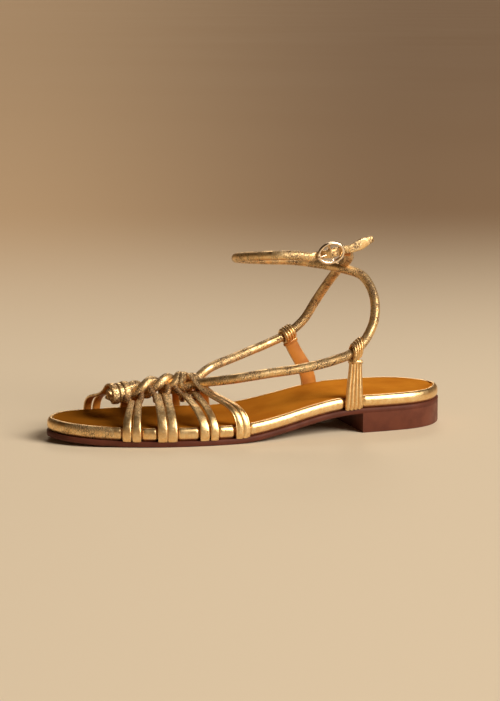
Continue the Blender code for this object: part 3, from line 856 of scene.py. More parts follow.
@dataclass(frozen=True)
class Finishes:
    """Every finish of the sandal, built once."""

    strap: CrackedFoil = CrackedFoil("strap_foil")
    cord: CrackedFoil = CrackedFoil("cord_foil", flake=0.75 * MM, stretch=2.6, width=0.17, patch=0.56)
    # Darker copy of the foil for the side loops at the spine: its deeper colours are painted shade and dark
    # reflection; its extra cracks are texture.
    spine: CrackedFoil = CrackedFoil(
        "spine_foil_painted_shade", (0.92, 0.64, 0.33), (0.62, 0.30, 0.10), stretch=2.2, width=0.20, patch=0.42
    )
    edge: CrackedFoil = CrackedFoil(
        "edge_foil", flake=1.3 * MM, width=0.09, patch=0.72, roughness=0.28, depth=0.03 * MM
    )
    lining: SmoothLeather = SmoothLeather(
        "tan_lining", (0.60, 0.23, 0.035), (0.44, 0.14, 0.02), roughness=0.46, specular=0.3
    )
    insole: SmoothLeather = SmoothLeather(
        "insole_leather",
        (0.66, 0.25, 0.024),
        (0.54, 0.18, 0.016),
        roughness=0.46,
        specular=0.0,
        # Painted shade of the straps towards the toe, partly also wear.
        toe_painted_shade=0.88,
        blotch=24.0 * MM,
    )
    # The heel's leather, darkened as painted shade.
    sole: SmoothLeather = SmoothLeather(
        "sole_leather_painted_shade", (0.120, 0.034, 0.020), (0.088, 0.025, 0.015), roughness=0.50, specular=0.15
    )
    heel: SmoothLeather = SmoothLeather(
        "heel_leather", (0.150, 0.044, 0.025), (0.112, 0.032, 0.019), roughness=0.46, specular=0.2
    )
    metal: PolishedMetal = PolishedMetal("buckle_metal", (0.98, 0.82, 0.62), (0.90, 0.70, 0.48))

    @staticmethod
    @functools.cache
    def of(finish: Finish) -> bpy.types.Material:
        """Material of a finish, made the first time it is asked for."""
        return finish.make()

    def dress(self, piece: bpy.types.Object, *finishes: Finish) -> bpy.types.Object:
        """Fills a piece's material slots.

        Args:
            piece: The piece.
            finishes: One finish for each slot.

        Returns:
            The piece.
        """
        for finish in finishes:
            piece.data.materials.append(self.of(finish))
        return piece


# The shoe


@dataclass(frozen=True)
class Last:
    """Plan outline and heights of the bottom, and the sizes that several assemblies share."""

    back: float
    length: float
    ball_out: float = 40.6 * MM
    ball_in: float = 41.0 * MM
    tip_y: float = -3.0 * MM
    heel_length: float = 61.0 * MM
    shank_length: float = 88.0 * MM
    tread_length: float = 40.0 * MM
    heel_seat: float = 11.7 * MM
    toe_spring: float = 3.2 * MM
    outsole_t: float = 3.3 * MM
    footbed_t: float = 7.3 * MM
    strap_w: float = 5.6 * MM
    strap_t: float = 1.4 * MM
    cord_r: float = 2.9 * MM
    twist_r: float = 2.5 * MM
    stirrup_w: float = 11.6 * MM
    loop_length: float = 15.0 * MM
    instep: float = 33.0 * MM
    ankle_top: float = 112.0 * MM
    ankle_half: float = 30.0 * MM
    edge_steps: int = 26

    @classmethod
    def from_frame(cls) -> "Last":
        """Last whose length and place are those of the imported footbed."""
        low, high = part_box("footbed")
        return cls(low.x, high.x - low.x)

    @property
    def edge_roll(self) -> float:
        """Radius of the footbed's rounded edge."""
        return 0.43 * self.footbed_t

    def station(self, along: float) -> float:
        """X of a share of the length."""
        return self.back + along * self.length

    def route_point(self, row: Route) -> Vector:
        """World point of one row of a cord's route."""
        height = self.instep + row.rise * (self.ankle_top - self.instep)
        return Vector((self.station(row.along), row.side * self.ankle_half, height))

    @functools.cache
    def edge(self, inset: float) -> tuple[Vector, ...]:
        """Plan outline moved inwards: heel back, outer side, toe tip, inner side."""
        outer = [Vector((self.station(row.along), row.outer * self.ball_out)) for row in OUTLINE]
        inner = [Vector((self.station(row.along), -row.inner * self.ball_in)) for row in reversed(OUTLINE)]
        back = Vector((self.back, 0.0))
        tip = Vector((self.back + self.length, self.tip_y))
        line = smooth([back, *outer, tip, *inner], self.edge_steps, closed=True)
        moved = []
        for i, point in enumerate(line):
            run = (line[(i + 1) % len(line)] - line[i - 1]).normalized()
            moved.append(point - inset * Vector((-run.y, run.x)))
        return tuple(moved)

    def underside(self, x: float) -> float:
        """Height of the outsole's lower face: heel seat, shank, flat tread, toe spring."""
        seat_end = self.back + self.heel_length
        tread_start = seat_end + self.shank_length
        tread_end = tread_start + self.tread_length
        if x <= seat_end:
            return self.heel_seat
        if x < tread_start:
            return 0.5 * self.heel_seat * (1.0 + math.cos(math.pi * (x - seat_end) / self.shank_length))
        if x <= tread_end:
            return 0.0
        return self.toe_spring * ((x - tread_end) / (self.back + self.length - tread_end)) ** 2

    def footbed_base(self, x: float) -> float:
        """Height of the footbed's lower face."""
        return self.underside(x) + self.outsole_t

    def footbed_top(self, x: float) -> float:
        """Height of the footbed's upper face."""
        return self.footbed_base(x) + self.footbed_t

    def rim(self, along: float, side: Side) -> tuple[Vector, Vector, Vector]:
        """Edge of the footbed at one station.

        Args:
            along: Share of the length.
            side: Side of the foot.

        Returns:
            The point, the outward normal and the forward direction, in plan.
        """
        line = self.edge(0.0)
        half = len(line) // 2
        run = line[:half + 1] if side is Side.OUTER else (line[0], *reversed(line[half:]))
        x = self.station(along)
        start, end = next((a, b) for a, b in zip(run, run[1:]) if a.x <= x <= b.x)
        forward = (end - start).normalized()
        share = (x - start.x) / (end.x - start.x)
        return start.lerp(end, share), side.value * Vector((-forward.y, forward.x)), forward

    @functools.cache
    def spine_line(self) -> tuple[Vector, ...]:
        """Smooth line of the spine's shares and heights."""
        return tuple(smooth([Vector((row.along, row.height)) for row in SPINE], 8))

    def spine_point(self, along: float) -> Vector:
        """Point on the spine's centre line at a share of the length."""
        line = self.spine_line()
        nearest = min(range(len(line) - 1), key=lambda i: abs(line[i].x + line[i + 1].x - 2 * along))
        start, end = line[nearest], line[nearest + 1]
        height = start.y + (end.y - start.y) * (along - start.x) / (end.x - start.x)
        return Vector((self.station(along), 0.0, height * self.instep))


@dataclass
class Bottom:
    """Outsole, heel, wrapped footbed and insole."""

    last: Last
    finishes: Finishes
    welt_out: float = 0.3 * MM
    sole_bevel: float = 0.6 * MM
    insole_margin: float = 3.4 * MM
    insole_rise: float = 0.45 * MM
    bead: float = 0.55 * MM
    dish: float = 0.6 * MM
    press: float = 0.9 * MM
    press_fade: float = 1.7 * MM
    press_gap: float = 0.3 * MM
    roll_steps: int = 8
    heel_bevel: float = 0.5 * MM
    heel_reach: float = 0.95
    flatten: float = 0.25
    toe_bend: float = 0.93
    bend_reach: float = 0.13
    seats: list[tuple[Vector, float]] = field(default_factory=list)

    def find_seats(self) -> None:
        """Notes where straps and stirrups press into the footbed's edge."""
        last = self.last
        straps = [(row, last.strap_w) for row in STRAPS.values()]
        stirrups = [(row, last.stirrup_w) for _, row in STIRRUPS.values()]
        for row, width in (*straps, *stirrups):
            reach = 0.5 * row.base_w * width + self.press_gap
            self.seats.append((last.rim(row.base, row.side)[0], reach))

    def pressed(self, point: Vector) -> float:
        """Share by which a strap presses the edge in at a point of the outline."""
        most = 0.0
        for seat, half in self.seats:
            share = clamp(((point - seat).length - half) / self.press_fade)
            most = max(most, 1.0 - math.sqrt(1.0 - (1.0 - share) ** 2))
        return most

    def layer(
        self,
        name: str,
        profile: Section,
        base: Callable[[float], float],
        columns: int = 2,
        dish: float = 0.0,
    ) -> bpy.types.Object:
        """Sole layer built from outlines at each inset and height, closed below and above.

        Args:
            name: Name of the piece.
            profile: Inset and height pairs, bottom to top.
            base: Gives the layer's lowest height at an X.
            columns: Quads across the closed faces.
            dish: How far the upper face sinks in its middle.

        Returns:
            The layer.
        """
        bm = bmesh.new()
        at = bm.verts.layers.float_vector.new(ATTRIBUTE)
        wear_and_shade = bm.verts.layers.float.new(CREASE_AND_SHADE)
        pinch = [self.pressed(point) for point in self.last.edge(0.0)]
        middle = 0.5 * (profile[0][1] + profile[-1][1])
        rings = []
        for inset, level in profile:
            ring = []
            edges = self.last.edge(inset), self.last.edge(inset + self.press)
            for point, dented, dent in zip(*edges, pinch):
                spot = point.lerp(dented, dent)
                flat = middle + (level - middle) * (1.0 - self.flatten * dent)
                ring.append(bm.verts.new((spot.x, spot.y, base(point.x) + flat)))
            rings.append(ring)
        wall(bm, rings)
        self.close(bm, rings[0], columns, 0.0)
        self.close(bm, rings[-1], columns, dish)
        toe, fade = self.last.station(self.toe_bend), self.bend_reach * self.last.length
        for vert in bm.verts:
            vert[at] = vert.co
            vert[wear_and_shade] = max(0.0, 1.0 - abs(vert.co.x - toe) / fade)
        return new_object(name, bm, 55.0)

    @staticmethod
    def close(bm: bmesh.types.BMesh, ring: list[bmesh.types.BMVert], columns: int, dish: float) -> None:
        """Closes an outline with rows of quads across it, and a fan at heel and toe."""
        half = len(ring) // 2
        rows = []
        for i in range(1, half):
            first, last = ring[i], ring[-i]
            row = [first]
            for column in range(1, columns):
                share = column / columns
                sink = dish * (4.0 * share * (1.0 - share)) ** DISH_CURVE
                row.append(bm.verts.new(first.co.lerp(last.co, share) - Vector((0.0, 0.0, sink))))
            rows.append([*row, last])
        for near, far in zip(rows, rows[1:]):
            for column in range(columns):
                bm.faces.new((near[column], near[column + 1], far[column + 1], far[column]))
        for end, row in ((ring[0], rows[0]), (ring[half], rows[-1])):
            for column in range(columns):
                bm.faces.new((end, row[column], row[column + 1]))

    def edge_profile(self) -> Section:
        """Inset and height pairs of the wrapped edge, with a bead that frames the insole."""
        roll, thick, crest = self.last.edge_roll, self.last.footbed_t, 0.80
        profile = []
        for centre, start, wide, high in (
            (roll, -90.0, roll, roll),
            (thick - roll, 0.0, crest * roll, roll + self.bead),
        ):
            for step in range(self.roll_steps + 1):
                turn = math.radians(start + 90.0 * step / self.roll_steps)
                profile.append((wide * (1.0 - math.cos(turn)), centre + high * math.sin(turn)))
        top = thick + self.bead
        profile += [(0.93 * roll, top - 0.08 * self.bead), (1.02 * roll, thick + 0.5 * self.bead)]
        return [*profile, (self.insole_margin, thick)]

    def heel(self) -> bpy.types.Object:
        """D-shaped heel block with softened edges."""
        last, soft = self.last, self.heel_bevel
        breast = last.back + last.heel_length
        bm = bmesh.new()
        at = bm.verts.layers.float_vector.new(ATTRIBUTE)
        rings = []
        top = last.heel_seat + self.heel_reach * self.sole_bevel
        levels = ((soft, 0.0), (0.3 * soft, 0.3 * soft), (0.0, soft), (0.0, top))
        for inset, level in levels:
            edge = last.edge(inset - self.welt_out)
            half = len(edge) // 2
            outer = [p for p in edge[:half] if p.x < breast - inset]
            inner = [p for p in edge[half:] if p.x < breast - inset]
            corners = [Vector((breast - inset, outer[-1].y)), Vector((breast - inset, inner[0].y))]
            rings.append([bm.verts.new((p.x, p.y, level)) for p in (*outer, *corners, *inner)])
        wall(bm, rings)
        bm.faces.new(rings[0])
        bm.faces.new(rings[-1])
        for vert in bm.verts:
            vert[at] = vert.co
        return new_object("heel", bm, 35.0)

    def build(self) -> None:
        """Makes and dresses the four pieces."""
        last, finishes, soft = self.last, self.finishes, self.sole_bevel
        out, thick = self.welt_out, last.outsole_t
        tread = [(soft - out, 0.0), (0.3 * soft - out, 0.3 * soft), (-out, soft)]
        tread += [(-out, thick - 0.3 * soft), (0.3 * soft - out, thick)]
        place(finishes.dress(self.layer("sole", tread, last.underside), finishes.sole), "outsole", "outsole")
        place(finishes.dress(self.heel(), finishes.heel), "heel", "heel_block")
        self.find_seats()
        edge = self.layer("edge_wrap", self.edge_profile(), last.footbed_base, 14, self.dish + 0.5 * MM)
        place(finishes.dress(edge, finishes.edge), "footbed_edge", "footbed")
        self.seats = []
        margin, top = self.insole_margin, self.insole_rise
        soft = 0.6 * top
        sheet = [(margin, -soft), (margin, top - soft)]
        sheet += [(margin + 0.3 * soft, top - 0.3 * soft), (margin + soft, top)]
        insole = self.layer("insole_sheet", sheet, last.footbed_top, 14, self.dish)
        place(finishes.dress(insole, finishes.insole), "insole", "insole")


@dataclass
class Cage:
    """Straps over the foot and the side loops that hold them, placed along the spine's outline."""

    last: Last
    finishes: Finishes
    seat: float = 0.2 * MM
    bite: float = 0.5 * MM
    loop_r: float = 1.8 * MM
    loop_out: float = 10.5 * MM
    loop_drop: float = 7.0 * MM
    on_loop: Grip = Grip(75.0, 0.55)
    on_spine: Grip = Grip(45.0, 0.80)
    rim_steps: int = 7
    arch_steps: int = 26
    wrap_step: float = 11.0

    def bulge(self, along: float, side: Side, width: float) -> float:
        """How far the footbed's edge stands out under a strap of this width."""
        edge, outward, _ = self.last.rim(along, side)
        reach = 0.5 * width / self.last.length
        spots = [self.last.rim(along + share * reach, side)[0] for share in (-1.0, -0.5, 0.5, 1.0)]
        return max(0.0, *((spot - edge).dot(outward) for spot in spots))

    def rim_path(self, along: float, side: Side, width: float) -> tuple[list[Vector], Vector]:
        """Strap path from the outsole round the footbed's edge.

        Args:
            along: Base of the strap, as a share of the length.
            side: Side of the foot.
            width: Width of the strap there.

        Returns:
            The path, and the cross direction with the foil facing out.
        """
        last = self.last
        edge, outward, forward = last.rim(along, side)
        reach = last.edge_roll + self.seat + 0.5 * self.last.strap_t + self.bulge(along, side, width)
        lowest = -math.asin(last.edge_roll / (reach + 0.5 * self.last.strap_t))
        centre = edge - last.edge_roll * outward
        hub = Vector((centre.x, centre.y, last.footbed_base(edge.x) + last.edge_roll))
        out = Vector((outward.x, outward.y, 0.0))
        path = []
        for step in range(self.rim_steps + 1):
            turn = lowest * (1.0 - step / self.rim_steps)
            path.append(hub + reach * (math.cos(turn) * out + math.sin(turn) * UP))
        path.append(path[-1] + (last.footbed_t - 2.0 * last.edge_roll) * UP)
        ahead, behind = edge + 0.5 * width * forward, edge - 0.5 * width * forward
        slope = (last.underside(ahead.x) - last.underside(behind.x)) / width
        return path, side.value * Vector((forward.x, forward.y, slope))

    def loop_centre(self, loop: Loop) -> Vector:
        """Middle of the outermost stretch of a side loop."""
        offset = Vector((0.0, loop.side.value * self.loop_out, -self.loop_drop))
        return self.last.spine_point(loop.along) + offset

    def loop_path(self, loop: Loop) -> list[Vector]:
        """Half loop that stands out from the spine and droops to its straps."""
        points = []
        for step in range(self.arch_steps + 1):
            turn = math.pi * step / self.arch_steps
            rise = max(0.0, math.sin(turn))
            shift = 0.5 * loop.length * self.last.loop_length * math.cos(turn)
            out = loop.side.value * self.loop_out * rise ** 0.7
            offset = Vector((shift, out, -self.loop_drop * rise))
            points.append(self.last.spine_point(loop.along) + offset)
        return points

    def strap(self, name: str, row: StrapRow) -> bpy.types.Object:
        """One strap: up the footbed's edge, over the foot and round its hold.

        Args:
            name: Name of the strap.
            row: Its sizes.

        Returns:
            The strap.
        """
        base_w, top_w = row.base_w * self.last.strap_w, row.top_w * self.last.strap_w
        path, forward = self.rim_path(row.base, row.side, base_w)
        if isinstance(row.hold, str):
            loop = LOOPS[row.hold]
            shift = row.shift * loop.length * self.last.loop_length
            hold = self.loop_centre(loop) + Vector((shift, 0.0, 0.0))
            held, grip = self.loop_r, self.on_loop
        else:
            hold = self.last.spine_point(row.hold)
            held, grip = self.last.twist_r + self.last.cord_r, self.on_spine
        radius = held + 0.5 * self.last.strap_t - self.bite
        out = path[-1] - hold
        out = Vector((out.x, out.y, 0.0)).normalized()
        steps = round(row.turn / self.wrap_step)
        turns = [math.radians(grip.arrive + row.turn * step / steps) for step in range(steps + 1)]
        advance = -top_w / (2.0 * math.pi) if row.turn > 360 else 0.0
        wrap = []
        for turn in turns:
            slide = Vector((advance * (turn - turns[0]), 0.0, 0.0))
            wrap.append(hold + slide + radius * (math.cos(turn) * out + math.sin(turn) * UP))
        heading = -math.sin(turns[0]) * out + math.cos(turns[0]) * UP
        start, end = path[-1], wrap[0]
        rise = grip.lift * (end.z - start.z) * UP
        span = 0.50 * (end.xy - start.xy).length
        arch = bezier(start, start + rise, end - span * heading, end, self.arch_steps)
        rim_count = len(path)
        path = [*path, *arch, *wrap[1:]]
        top = out.cross(UP)
        sections, across, crease_and_shade = [], [], []
        for i in range(len(path)):
            share = clamp((i - rim_count + 1) / self.arch_steps)
            width = base_w + (top_w - base_w) * share
            sections.append(strap_section(width, self.last.strap_t, row.strands))
            across.append(forward.lerp(top, share))
            # Cracks grow towards the top: creasing where the strap wraps its hold, and painted shade on its
            # upper parts.
            crease_and_shade.append(share)
        return sweep(name, path, across, sections, crease_and_shade=crease_and_shade)

    def build(self) -> None:
        """Makes and dresses the straps and side loops."""
        for name, row in STRAPS.items():
            piece = self.finishes.dress(self.strap(name, row), self.finishes.strap, self.finishes.lining)
            place(piece, "straps", "upper")
        for name, loop in LOOPS.items():
            path = self.loop_path(loop)
            sections = [round_section(self.loop_r)] * len(path)
            piece = sweep("loop_" + name, path, carried(path, UP), sections)
            place(self.finishes.dress(piece, self.finishes.spine), "straps", "upper")


@dataclass
class Buckle:
    """Oval ring with a centre bar, and its prong."""

    last: Last
    finishes: Finishes
    length: float = 17.7 * MM
    height: float = 13.3 * MM
    wire_r: float = 1.0 * MM
    bar_r: float = 0.8 * MM
    bar_sink: float = 0.6 * MM
    prong_r: float = 0.5 * MM
    fit: float = 0.3 * MM
    tab_t: float = 1.1 * MM
    tilt: float = math.radians(15.0)

    @property
    def reach(self) -> float:
        """Half length of the ring's centre line."""
        return 0.5 * self.length - self.wire_r

    def point(self, ahead: float, out: float, up: float = 0.0, tilt: float | None = None) -> Vector:
        """World point from distances in the buckle's own frame."""
        turn = self.tilt if tilt is None else tilt
        forward = Vector((math.cos(turn), 0.0, -math.sin(turn)))
        origin = self.last.route_point(BUCKLE_AT)
        return origin + ahead * forward + Vector((0.0, out, 0.0)) + up * self.upward(turn)

    @staticmethod
    def upward(tilt: float) -> Vector:
        """Direction across a strap that is tilted by an angle."""
        return Vector((math.sin(tilt), 0.0, math.cos(tilt)))

    def around_bar(self, radius: float, count: int = 32) -> list[Vector]:
        """Circle round the bar."""
        sink = self.bar_sink
        return [self.point(radius * math.cos(t), radius * math.sin(t) - sink) for t in full_turn(count)]

    @staticmethod
    def wire(name: str, path: Sequence[Vector], radius: float, closed: bool = False) -> bpy.types.Object:
        """Round wire along a path."""
        across = carried(path, Vector((0.1, 1.0, 0.2)))
        if closed:
            across = [Vector((0.0, 1.0, 0.0))] * len(path)
        return sweep(name, path, across, [round_section(radius, 14)] * len(path), closed)

    def build(self) -> None:
        """Makes and dresses the ring with its bar, and the prong with its eye."""
        half = 0.5 * self.height - self.wire_r
        turns = full_turn(72)
        ring = [self.point(self.reach * math.cos(t), 0.0, half * math.sin(t)) for t in turns]
        ends = ((-half, 0.0), (-0.7 * half, -self.bar_sink), (0.7 * half, -self.bar_sink), (half, 0.0))
        bar = smooth([self.point(0.0, out, up) for up, out in ends], 6)
        pieces = [self.wire("ring", ring, self.wire_r, True), self.wire("bar", bar, self.bar_r)]
        frame = self.finishes.dress(joined("buckle_ring", pieces), self.finishes.metal)
        place(frame, "buckle", "buckle_frame")
        radius = self.bar_r + self.fit + self.prong_r
        rest = self.wire_r + self.fit + self.prong_r
        marks = (
            (0.5 * radius, 0.86 * radius - self.bar_sink),
            (0.45 * self.reach, 0.75 * rest),
            (self.reach, rest),
            (1.19 * self.reach, rest - self.fit),
        )
        pin = smooth([self.point(*mark) for mark in marks], 6)
        eye = self.around_bar(radius)
        across = [self.upward(self.tilt)] * len(eye)
        loop = sweep("eye", eye, across, [round_section(self.prong_r, 12)] * len(eye), True)
        prong = joined("prong", [loop, self.wire("pin", pin, self.prong_r)])
        place(self.finishes.dress(prong, self.finishes.metal), "buckle", "buckle_prong")


@dataclass
class Cords:
    """The two cords: twisted as the spine, then round the ankle to the buckle."""

    last: Last
    buckle: Buckle
    finishes: Finishes
    pitch: float = 21.0 * MM
    strap_w: float = 5.0 * MM
    tip_w: float = 6.8 * MM
    tip_end_w: float = 3.6 * MM
    tab_w: float = 5.2 * MM
    tab_bend: float = 4.4 * MM
    tab_fall: float = 5.0 * MM
    lead: float = 5.0 * MM
    strap_tilt: float = math.radians(10.0)
    steps: int = 7

    def strand(self, phase: float) -> list[Vector]:
        """Points of one of the spine's two cords, from the toe to the throat."""
        front, rear = SPINE[0].along, SPINE[-1].along
        turns = (front - rear) * self.last.length / self.pitch
        count = round(10 * turns)
        points = []
        for i in range(count + 1):
            share = i / count
            turn = phase - 2.0 * math.pi * turns * (1.0 - share)
            centre = self.last.spine_point(front + (rear - front) * share)
            points.append(centre + self.last.twist_r * Vector((0.0, math.cos(turn), math.sin(turn))))
        return points

    def flat_points(self) -> list[Vector]:
        """Route of the outer cord's flat end: under both ends of the ring and over its bar."""
        buckle, reach = self.buckle, self.buckle.reach
        under = -(buckle.wire_r + buckle.fit + 0.5 * self.last.strap_t)
        over = buckle.bar_r + 2.0 * buckle.fit + buckle.tab_t + 0.5 * self.last.strap_t - buckle.bar_sink
        half = ((1.15, under), (0.90, under), (0.72, under), (0.50, 0.12 * over), (0.30, 0.74 * over))
        front = [(share * reach, out) for share, out in half]
        rear = [(-ahead, out) for ahead, out in reversed(front)]
        profile = [(reach + self.lead, 0.70 * under), *front, (0.0, over), *rear]
        return [buckle.point(ahead, out, tilt=self.strap_tilt) for ahead, out in profile]

    def outer(self) -> bpy.types.Object:
        """Cord from the spine round the ankle, through the buckle and out to its tip."""
        strand = self.strand(0.0)
        route = [self.last.route_point(row) for row in OUTER_ROUTE]
        bent = self.flat_points()
        tip = [self.last.route_point(row) for row in TIP_ROUTE]
        marks = [*strand, *route, *bent, *tip]
        path = smooth(marks, self.steps)
        flat_start = (len(strand) + len(route) - 2) * self.steps
        flat_end = (len(strand) + len(route) + 1) * self.steps
        last_full = (len(marks) - len(tip)) * self.steps
        sections = []
        for i in range(len(path)):
            flat = ease((i - flat_start) / (flat_end - flat_start))
            spread = clamp((i - last_full) / self.steps)
            fall = clamp((len(path) - 1 - i) / self.steps)
            wide = self.strap_w + (self.tip_w - self.strap_w) * spread
            width = self.tip_end_w + (wide - self.tip_end_w) * fall
            sections.append(toward_round(strap_section(width, self.last.strap_t), self.last.cord_r, flat))
        across = carried(path[::-1], self.buckle.upward(self.strap_tilt))[::-1]
        return sweep("cord_outer", path, across, sections)

    def inner(self) -> list[bpy.types.Object]:
        """Cord from the spine up the inner side and behind the ankle, and its tab on the bar."""
        buckle, reach = self.buckle, self.buckle.reach
        radius = buckle.bar_r + buckle.fit + 0.5 * buckle.tab_t
        low = -buckle.bar_sink - radius
        profile = (
            (-1.75 * reach, low - self.tab_bend, -self.tab_fall),
            (-1.15 * reach, low - 0.59 * self.tab_bend, -0.52 * self.tab_fall),
            (-0.60 * reach, low - 0.27 * self.tab_bend, -0.16 * self.tab_fall),
            (0.0, low, 0.0),
        )
        strand = self.strand(math.pi)
        route = [self.last.route_point(row) for row in INNER_ROUTE]
        marks = [*strand, *route, *[buckle.point(*row) for row in profile]]
        path = smooth(marks, self.steps)
        flat_start = (len(strand) + len(route) - 2) * self.steps
        flat_end = (len(strand) + len(route)) * self.steps
        sections = []
        for i in range(len(path)):
            flat = ease((i - flat_start) / (flat_end - flat_start))
            sections.append(toward_round(strap_section(self.tab_w, buckle.tab_t), self.last.cord_r, flat))
        across = carried(path[::-1], buckle.upward(buckle.tilt))[::-1]
        cord = sweep("cord_inner", path, across, sections)
        circle = buckle.around_bar(radius)[::-1]
        wide = [buckle.upward(buckle.tilt)] * len(circle)
        strip = [strap_section(self.tab_w, buckle.tab_t)] * len(circle)
        tab = sweep("tab_loop", circle, wide, strip, True)
        return [cord, tab]

    def build(self) -> None:
        """Makes and dresses both cords."""
        for piece in (self.outer(), *self.inner()):
            self.finishes.dress(piece, self.finishes.cord, self.finishes.lining)
            place(piece, "straps", "upper")


@dataclass
class Stirrups:
    """Ribbed straps at the heel that lead the ankle cords through their loops."""

    cage: Cage
    finishes: Finishes
    clearance: float = 0.5 * MM
    loop_w: float = 8.4 * MM
    binding_w: float = 2.0 * MM
    binding_t: float = 0.9 * MM
    climb: float = 0.4
    neck_drop: float = 1.4 * MM
    binding_side: float = 0.3 * MM
    binding_deep: float = 0.6 * MM
    crease: float = 0.1

    def stirrup(self, name: str, route: Sequence[Route], row: StirrupRow) -> list[bpy.types.Object]:
        """One stirrup: its strap, the band round the cord and the binding at its neck.

        Args:
            name: Name of the stirrup.
            route: Route of the cord that it holds.
            row: Its sizes.

        Returns:
            The pieces.
        """
        cage, last, thick = self.cage, self.cage.last, self.cage.last.strap_t
        base_w, top_w = row.base_w * last.stirrup_w, row.top_w * last.stirrup_w
        path, forward = cage.rim_path(row.base, row.side, base_w)
        marks = [last.route_point(mark) for mark in route]
        centre = marks[row.row]
        along = (marks[row.row + 1] - marks[row.row - 1]).normalized()
        radius = last.cord_r + self.clearance + 0.5 * thick
        start = path[-1]
        down = (start - centre).normalized()
        low = radius / (down - down.dot(along) * along).length * down
        level = radius * along.cross(down).normalized()
        end = centre + low
        rise = self.climb * (end - start).length
        climb = bezier(start, start + rise * UP, end + rise * down, end, cage.arch_steps)
        rim_count = len(path)
        path = [*path, *climb]
        top = down.cross(level).normalized()
        if top.x * row.side.value < 0.0:
            top = -top
        sections, across, crease_and_shade = [], [], []
        for i in range(len(path)):
            share = clamp((i - rim_count + 1) / cage.arch_steps)
            width = base_w + (top_w - base_w) * share
            sections.append(strap_section(width, thick, row.strands))
            across.append(forward.lerp(top, share))
            crease_and_shade.append(self.crease)
        strap = sweep(name + "_strap", path, across, sections, crease_and_shade=crease_and_shade)
        turns = full_turn(40)
        ring = [centre + math.cos(t) * low + math.sin(t) * level for t in turns]
        ahead = (ring[1] - ring[0]).cross(along).dot(low) > 0.0
        slant = [along if ahead else -along] * len(ring)
        sections = [strap_section(self.loop_w, thick, row.strands)] * len(ring)
        band = sweep(name + "_band", ring, slant, sections, True)
        neck = end + self.neck_drop * down
        wide = (0.5 * top_w + self.binding_side) * top
        deep = (0.5 * thick + self.binding_deep) * level.normalized()
        tie = [neck + math.cos(t) * wide + math.sin(t) * deep for t in turns]
        tied = [strap_section(self.binding_w, self.binding_t)] * len(tie)
        binding = sweep(name + "_binding", tie, [down] * len(tie), tied, True)
        return [strap, band, binding]

    def build(self) -> None:
        """Makes and dresses both stirrups."""
        for name, (route, row) in STIRRUPS.items():
            for piece in self.stirrup(name, route, row):
                self.finishes.dress(piece, self.finishes.strap, self.finishes.lining)
                place(piece, "straps", name)


# The studio


def new_lamp(name: str, kind: str, way: Vector, **settings: object) -> bpy.types.Object:
    """Lamp that shines along a direction.

    Args:
        name: Name of the lamp.
        kind: Its type in Blender.
        way: Direction of its light.
        settings: Properties of its data.

    Returns:
        The linked lamp.
    """
    data = bpy.data.lights.new(name, kind)
    for key, value in settings.items():
        setattr(data, key, value)
    lamp = bpy.data.objects.new(name, data)
    lamp.rotation_euler = way.to_track_quat("-Z", "Y").to_euler()
    bpy.context.scene.collection.objects.link(lamp)
    return lamp


@dataclass(frozen=True)
class Softbox:
    """Square area light."""

    name: str
    at: Vector
    size: float
    power: float
    color: Color = (1.0, 0.93, 0.82)

    def make(self, target: Vector) -> None:
        """Adds the light, aimed at a target."""
        settings = {"size": self.size, "energy": self.power, "color": self.color}
        new_lamp(self.name, "AREA", target - self.at, **settings).location = self.at


@dataclass(frozen=True)
class Daylight:
    """Broad soft light that falls evenly over the whole floor."""

    name: str
    way: Vector
    power: float
    spread: float
    color: Color = (1.0, 0.92, 0.80)

    def make(self) -> None:
        """Adds the light, shining along its way."""
        new_lamp(self.name, "SUN", self.way, energy=self.power, angle=self.spread, color=self.color)


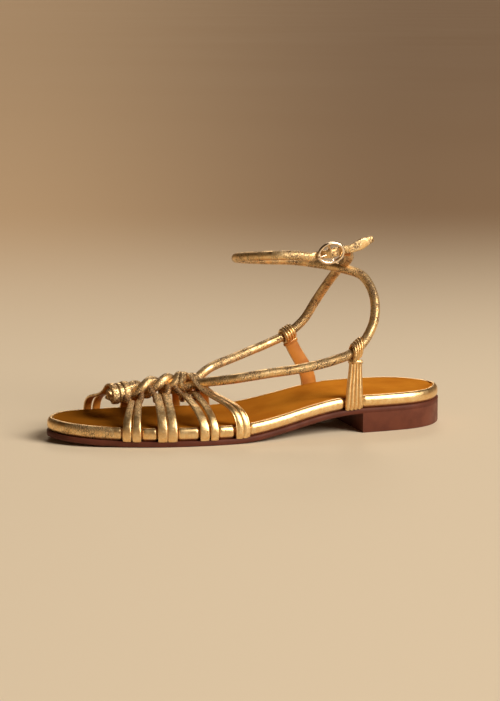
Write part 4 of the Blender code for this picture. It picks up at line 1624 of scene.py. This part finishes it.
@dataclass
class Studio:
    """Floor, lights and camera, at the photo's angle to the shoe."""

    eye: Vector = field(default_factory=lambda: Vector((504.95, 1249.6, 268.96)) * MM)
    target: Vector = field(default_factory=lambda: Vector((98.0, 0.0, 49.0)) * MM)
    lens: float = 112.0
    floor_half: float = 60.0
    paper: Color = (0.78, 0.66, 0.50)
    # Far floor colours: lighter on the left as painted light, darker on the right as painted shade.
    far_left_painted_light: Color = (0.60, 0.41, 0.24)
    far_right_painted_shade: Color = (0.25, 0.145, 0.070)
    far_from: float = -0.05
    far_to: float = -1.4
    cloudiness: float = 0.08
    overhead: Color = (0.07, 0.040, 0.020)
    around: Color = (0.42, 0.27, 0.145)
    surroundings: float = 0.52

    def floor(self) -> None:
        """Pale floor that turns warm and darker behind the shoe, and more so towards one side as painted
        shade.
        """
        bm = bmesh.new()
        bmesh.ops.create_grid(bm, x_segments=4, y_segments=4, size=self.floor_half)
        floor = new_object("floor", bm)
        material, shader, principled = new_material("studio_paper")
        at = shader.add("TexCoord").outputs["Object"]
        spot = shader.add("SeparateXYZ", None, Vector=at)
        away = shader.math("ADD", spot.outputs["Y"], shader.math("MULTIPLY", spot.outputs["X"], 0.3))
        far = shader.ramp(away, self.far_from, self.far_to, 0.0, 1.0)
        cloud = shader.math("MULTIPLY", shader.noise(at, 0.7, 2.0), self.cloudiness)
        tone = shader.math("SUBTRACT", far, shader.math("MULTIPLY", far, cloud))
        # Painted light and shade across the far floor: lighter to the left and darker to the right, as the
        # camera sees it.
        skew = shader.math("MULTIPLY", spot.outputs["Y"], 0.31)
        across = shader.math("SUBTRACT", skew, spot.outputs["X"])
        reach = shader.math("SUBTRACT", 1.4, away)
        slope = shader.math("DIVIDE", shader.math("ADD", across, 0.12), reach)
        side = shader.ramp(slope, -0.13, 0.10, 0.0, 1.0)
        distant = shader.mix(side, self.far_left_painted_light, self.far_right_painted_shade)
        shader.fill(
            principled,
            Base_Color=shader.mix(tone, self.paper, distant),
            Roughness=0.75,
            Specular_IOR_Level=0.1,
            Normal=shader.bump(shader.noise(at, 420.0, 4.0), 0.15, 0.1 * MM),
        )
        floor.data.materials.append(material)

    def sky(self) -> None:
        """Warm surroundings, brighter at the sides than above."""
        world = bpy.data.worlds.new("studio")
        world.use_nodes = True
        bpy.context.scene.world = world
        shader = Shader(world.node_tree)
        way = shader.add("TexCoord").outputs["Generated"]
        height = shader.add("SeparateXYZ", None, Vector=way).outputs["Z"]
        color = shader.mix(shader.ramp(height, 0.0, 0.6, 0.0, 1.0), self.around, self.overhead)
        shader.fill(world.node_tree.nodes["Background"], Color=color, Strength=self.surroundings)

    def camera(self) -> None:
        """Camera at the photo's angle, closer in on the one shoe."""
        data = bpy.data.cameras.new("camera")
        data.lens, data.sensor_width = self.lens, 36.0
        camera = bpy.data.objects.new("camera", data)
        camera.location = self.eye
        camera.rotation_euler = (self.target - self.eye).to_track_quat("-Z", "Y").to_euler()
        bpy.context.scene.collection.objects.link(camera)
        bpy.context.scene.camera = camera

    def build(self) -> None:
        """Makes the floor, surroundings, lights and camera."""
        bpy.context.scene.view_settings.view_transform = "Standard"
        self.camera()
        self.floor()
        self.sky()
        shoe = Vector((0.09, 0.0, 0.03))
        boxes = (
            Softbox("key", Vector((-2.0, 2.3, 1.9)), 1.8, 74.0),
            Softbox("front", Vector((2.0, 3.2, 0.9)), 1.6, 1.6, (1.0, 0.90, 0.76)),
        )
        for box in boxes:
            box.make(shoe)
        Daylight("window", Vector((0.75, -0.9, -0.95)), 2.2, math.radians(40.0)).make()
        Daylight("rim", Vector((0.35, 1.0, -0.72)), 0.6, math.radians(20.0), (1.0, 0.88, 0.72)).make()


def main() -> None:
    """Builds the sandal's pieces in order."""
    logging.basicConfig(level=logging.INFO, format="%(message)s")
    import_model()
    Studio().build()
    last, finishes = Last.from_frame(), Finishes()
    cage = Cage(last, finishes)
    buckle = Buckle(last, finishes)
    cords = Cords(last, buckle, finishes)
    for assembly in (Bottom(last, finishes), cage, buckle, cords, Stirrups(cage, finishes)):
        LOG.info("building %s", type(assembly).__name__)
        assembly.build()
    bpy.context.view_layer.update()


if __name__ == "__main__":
    main()
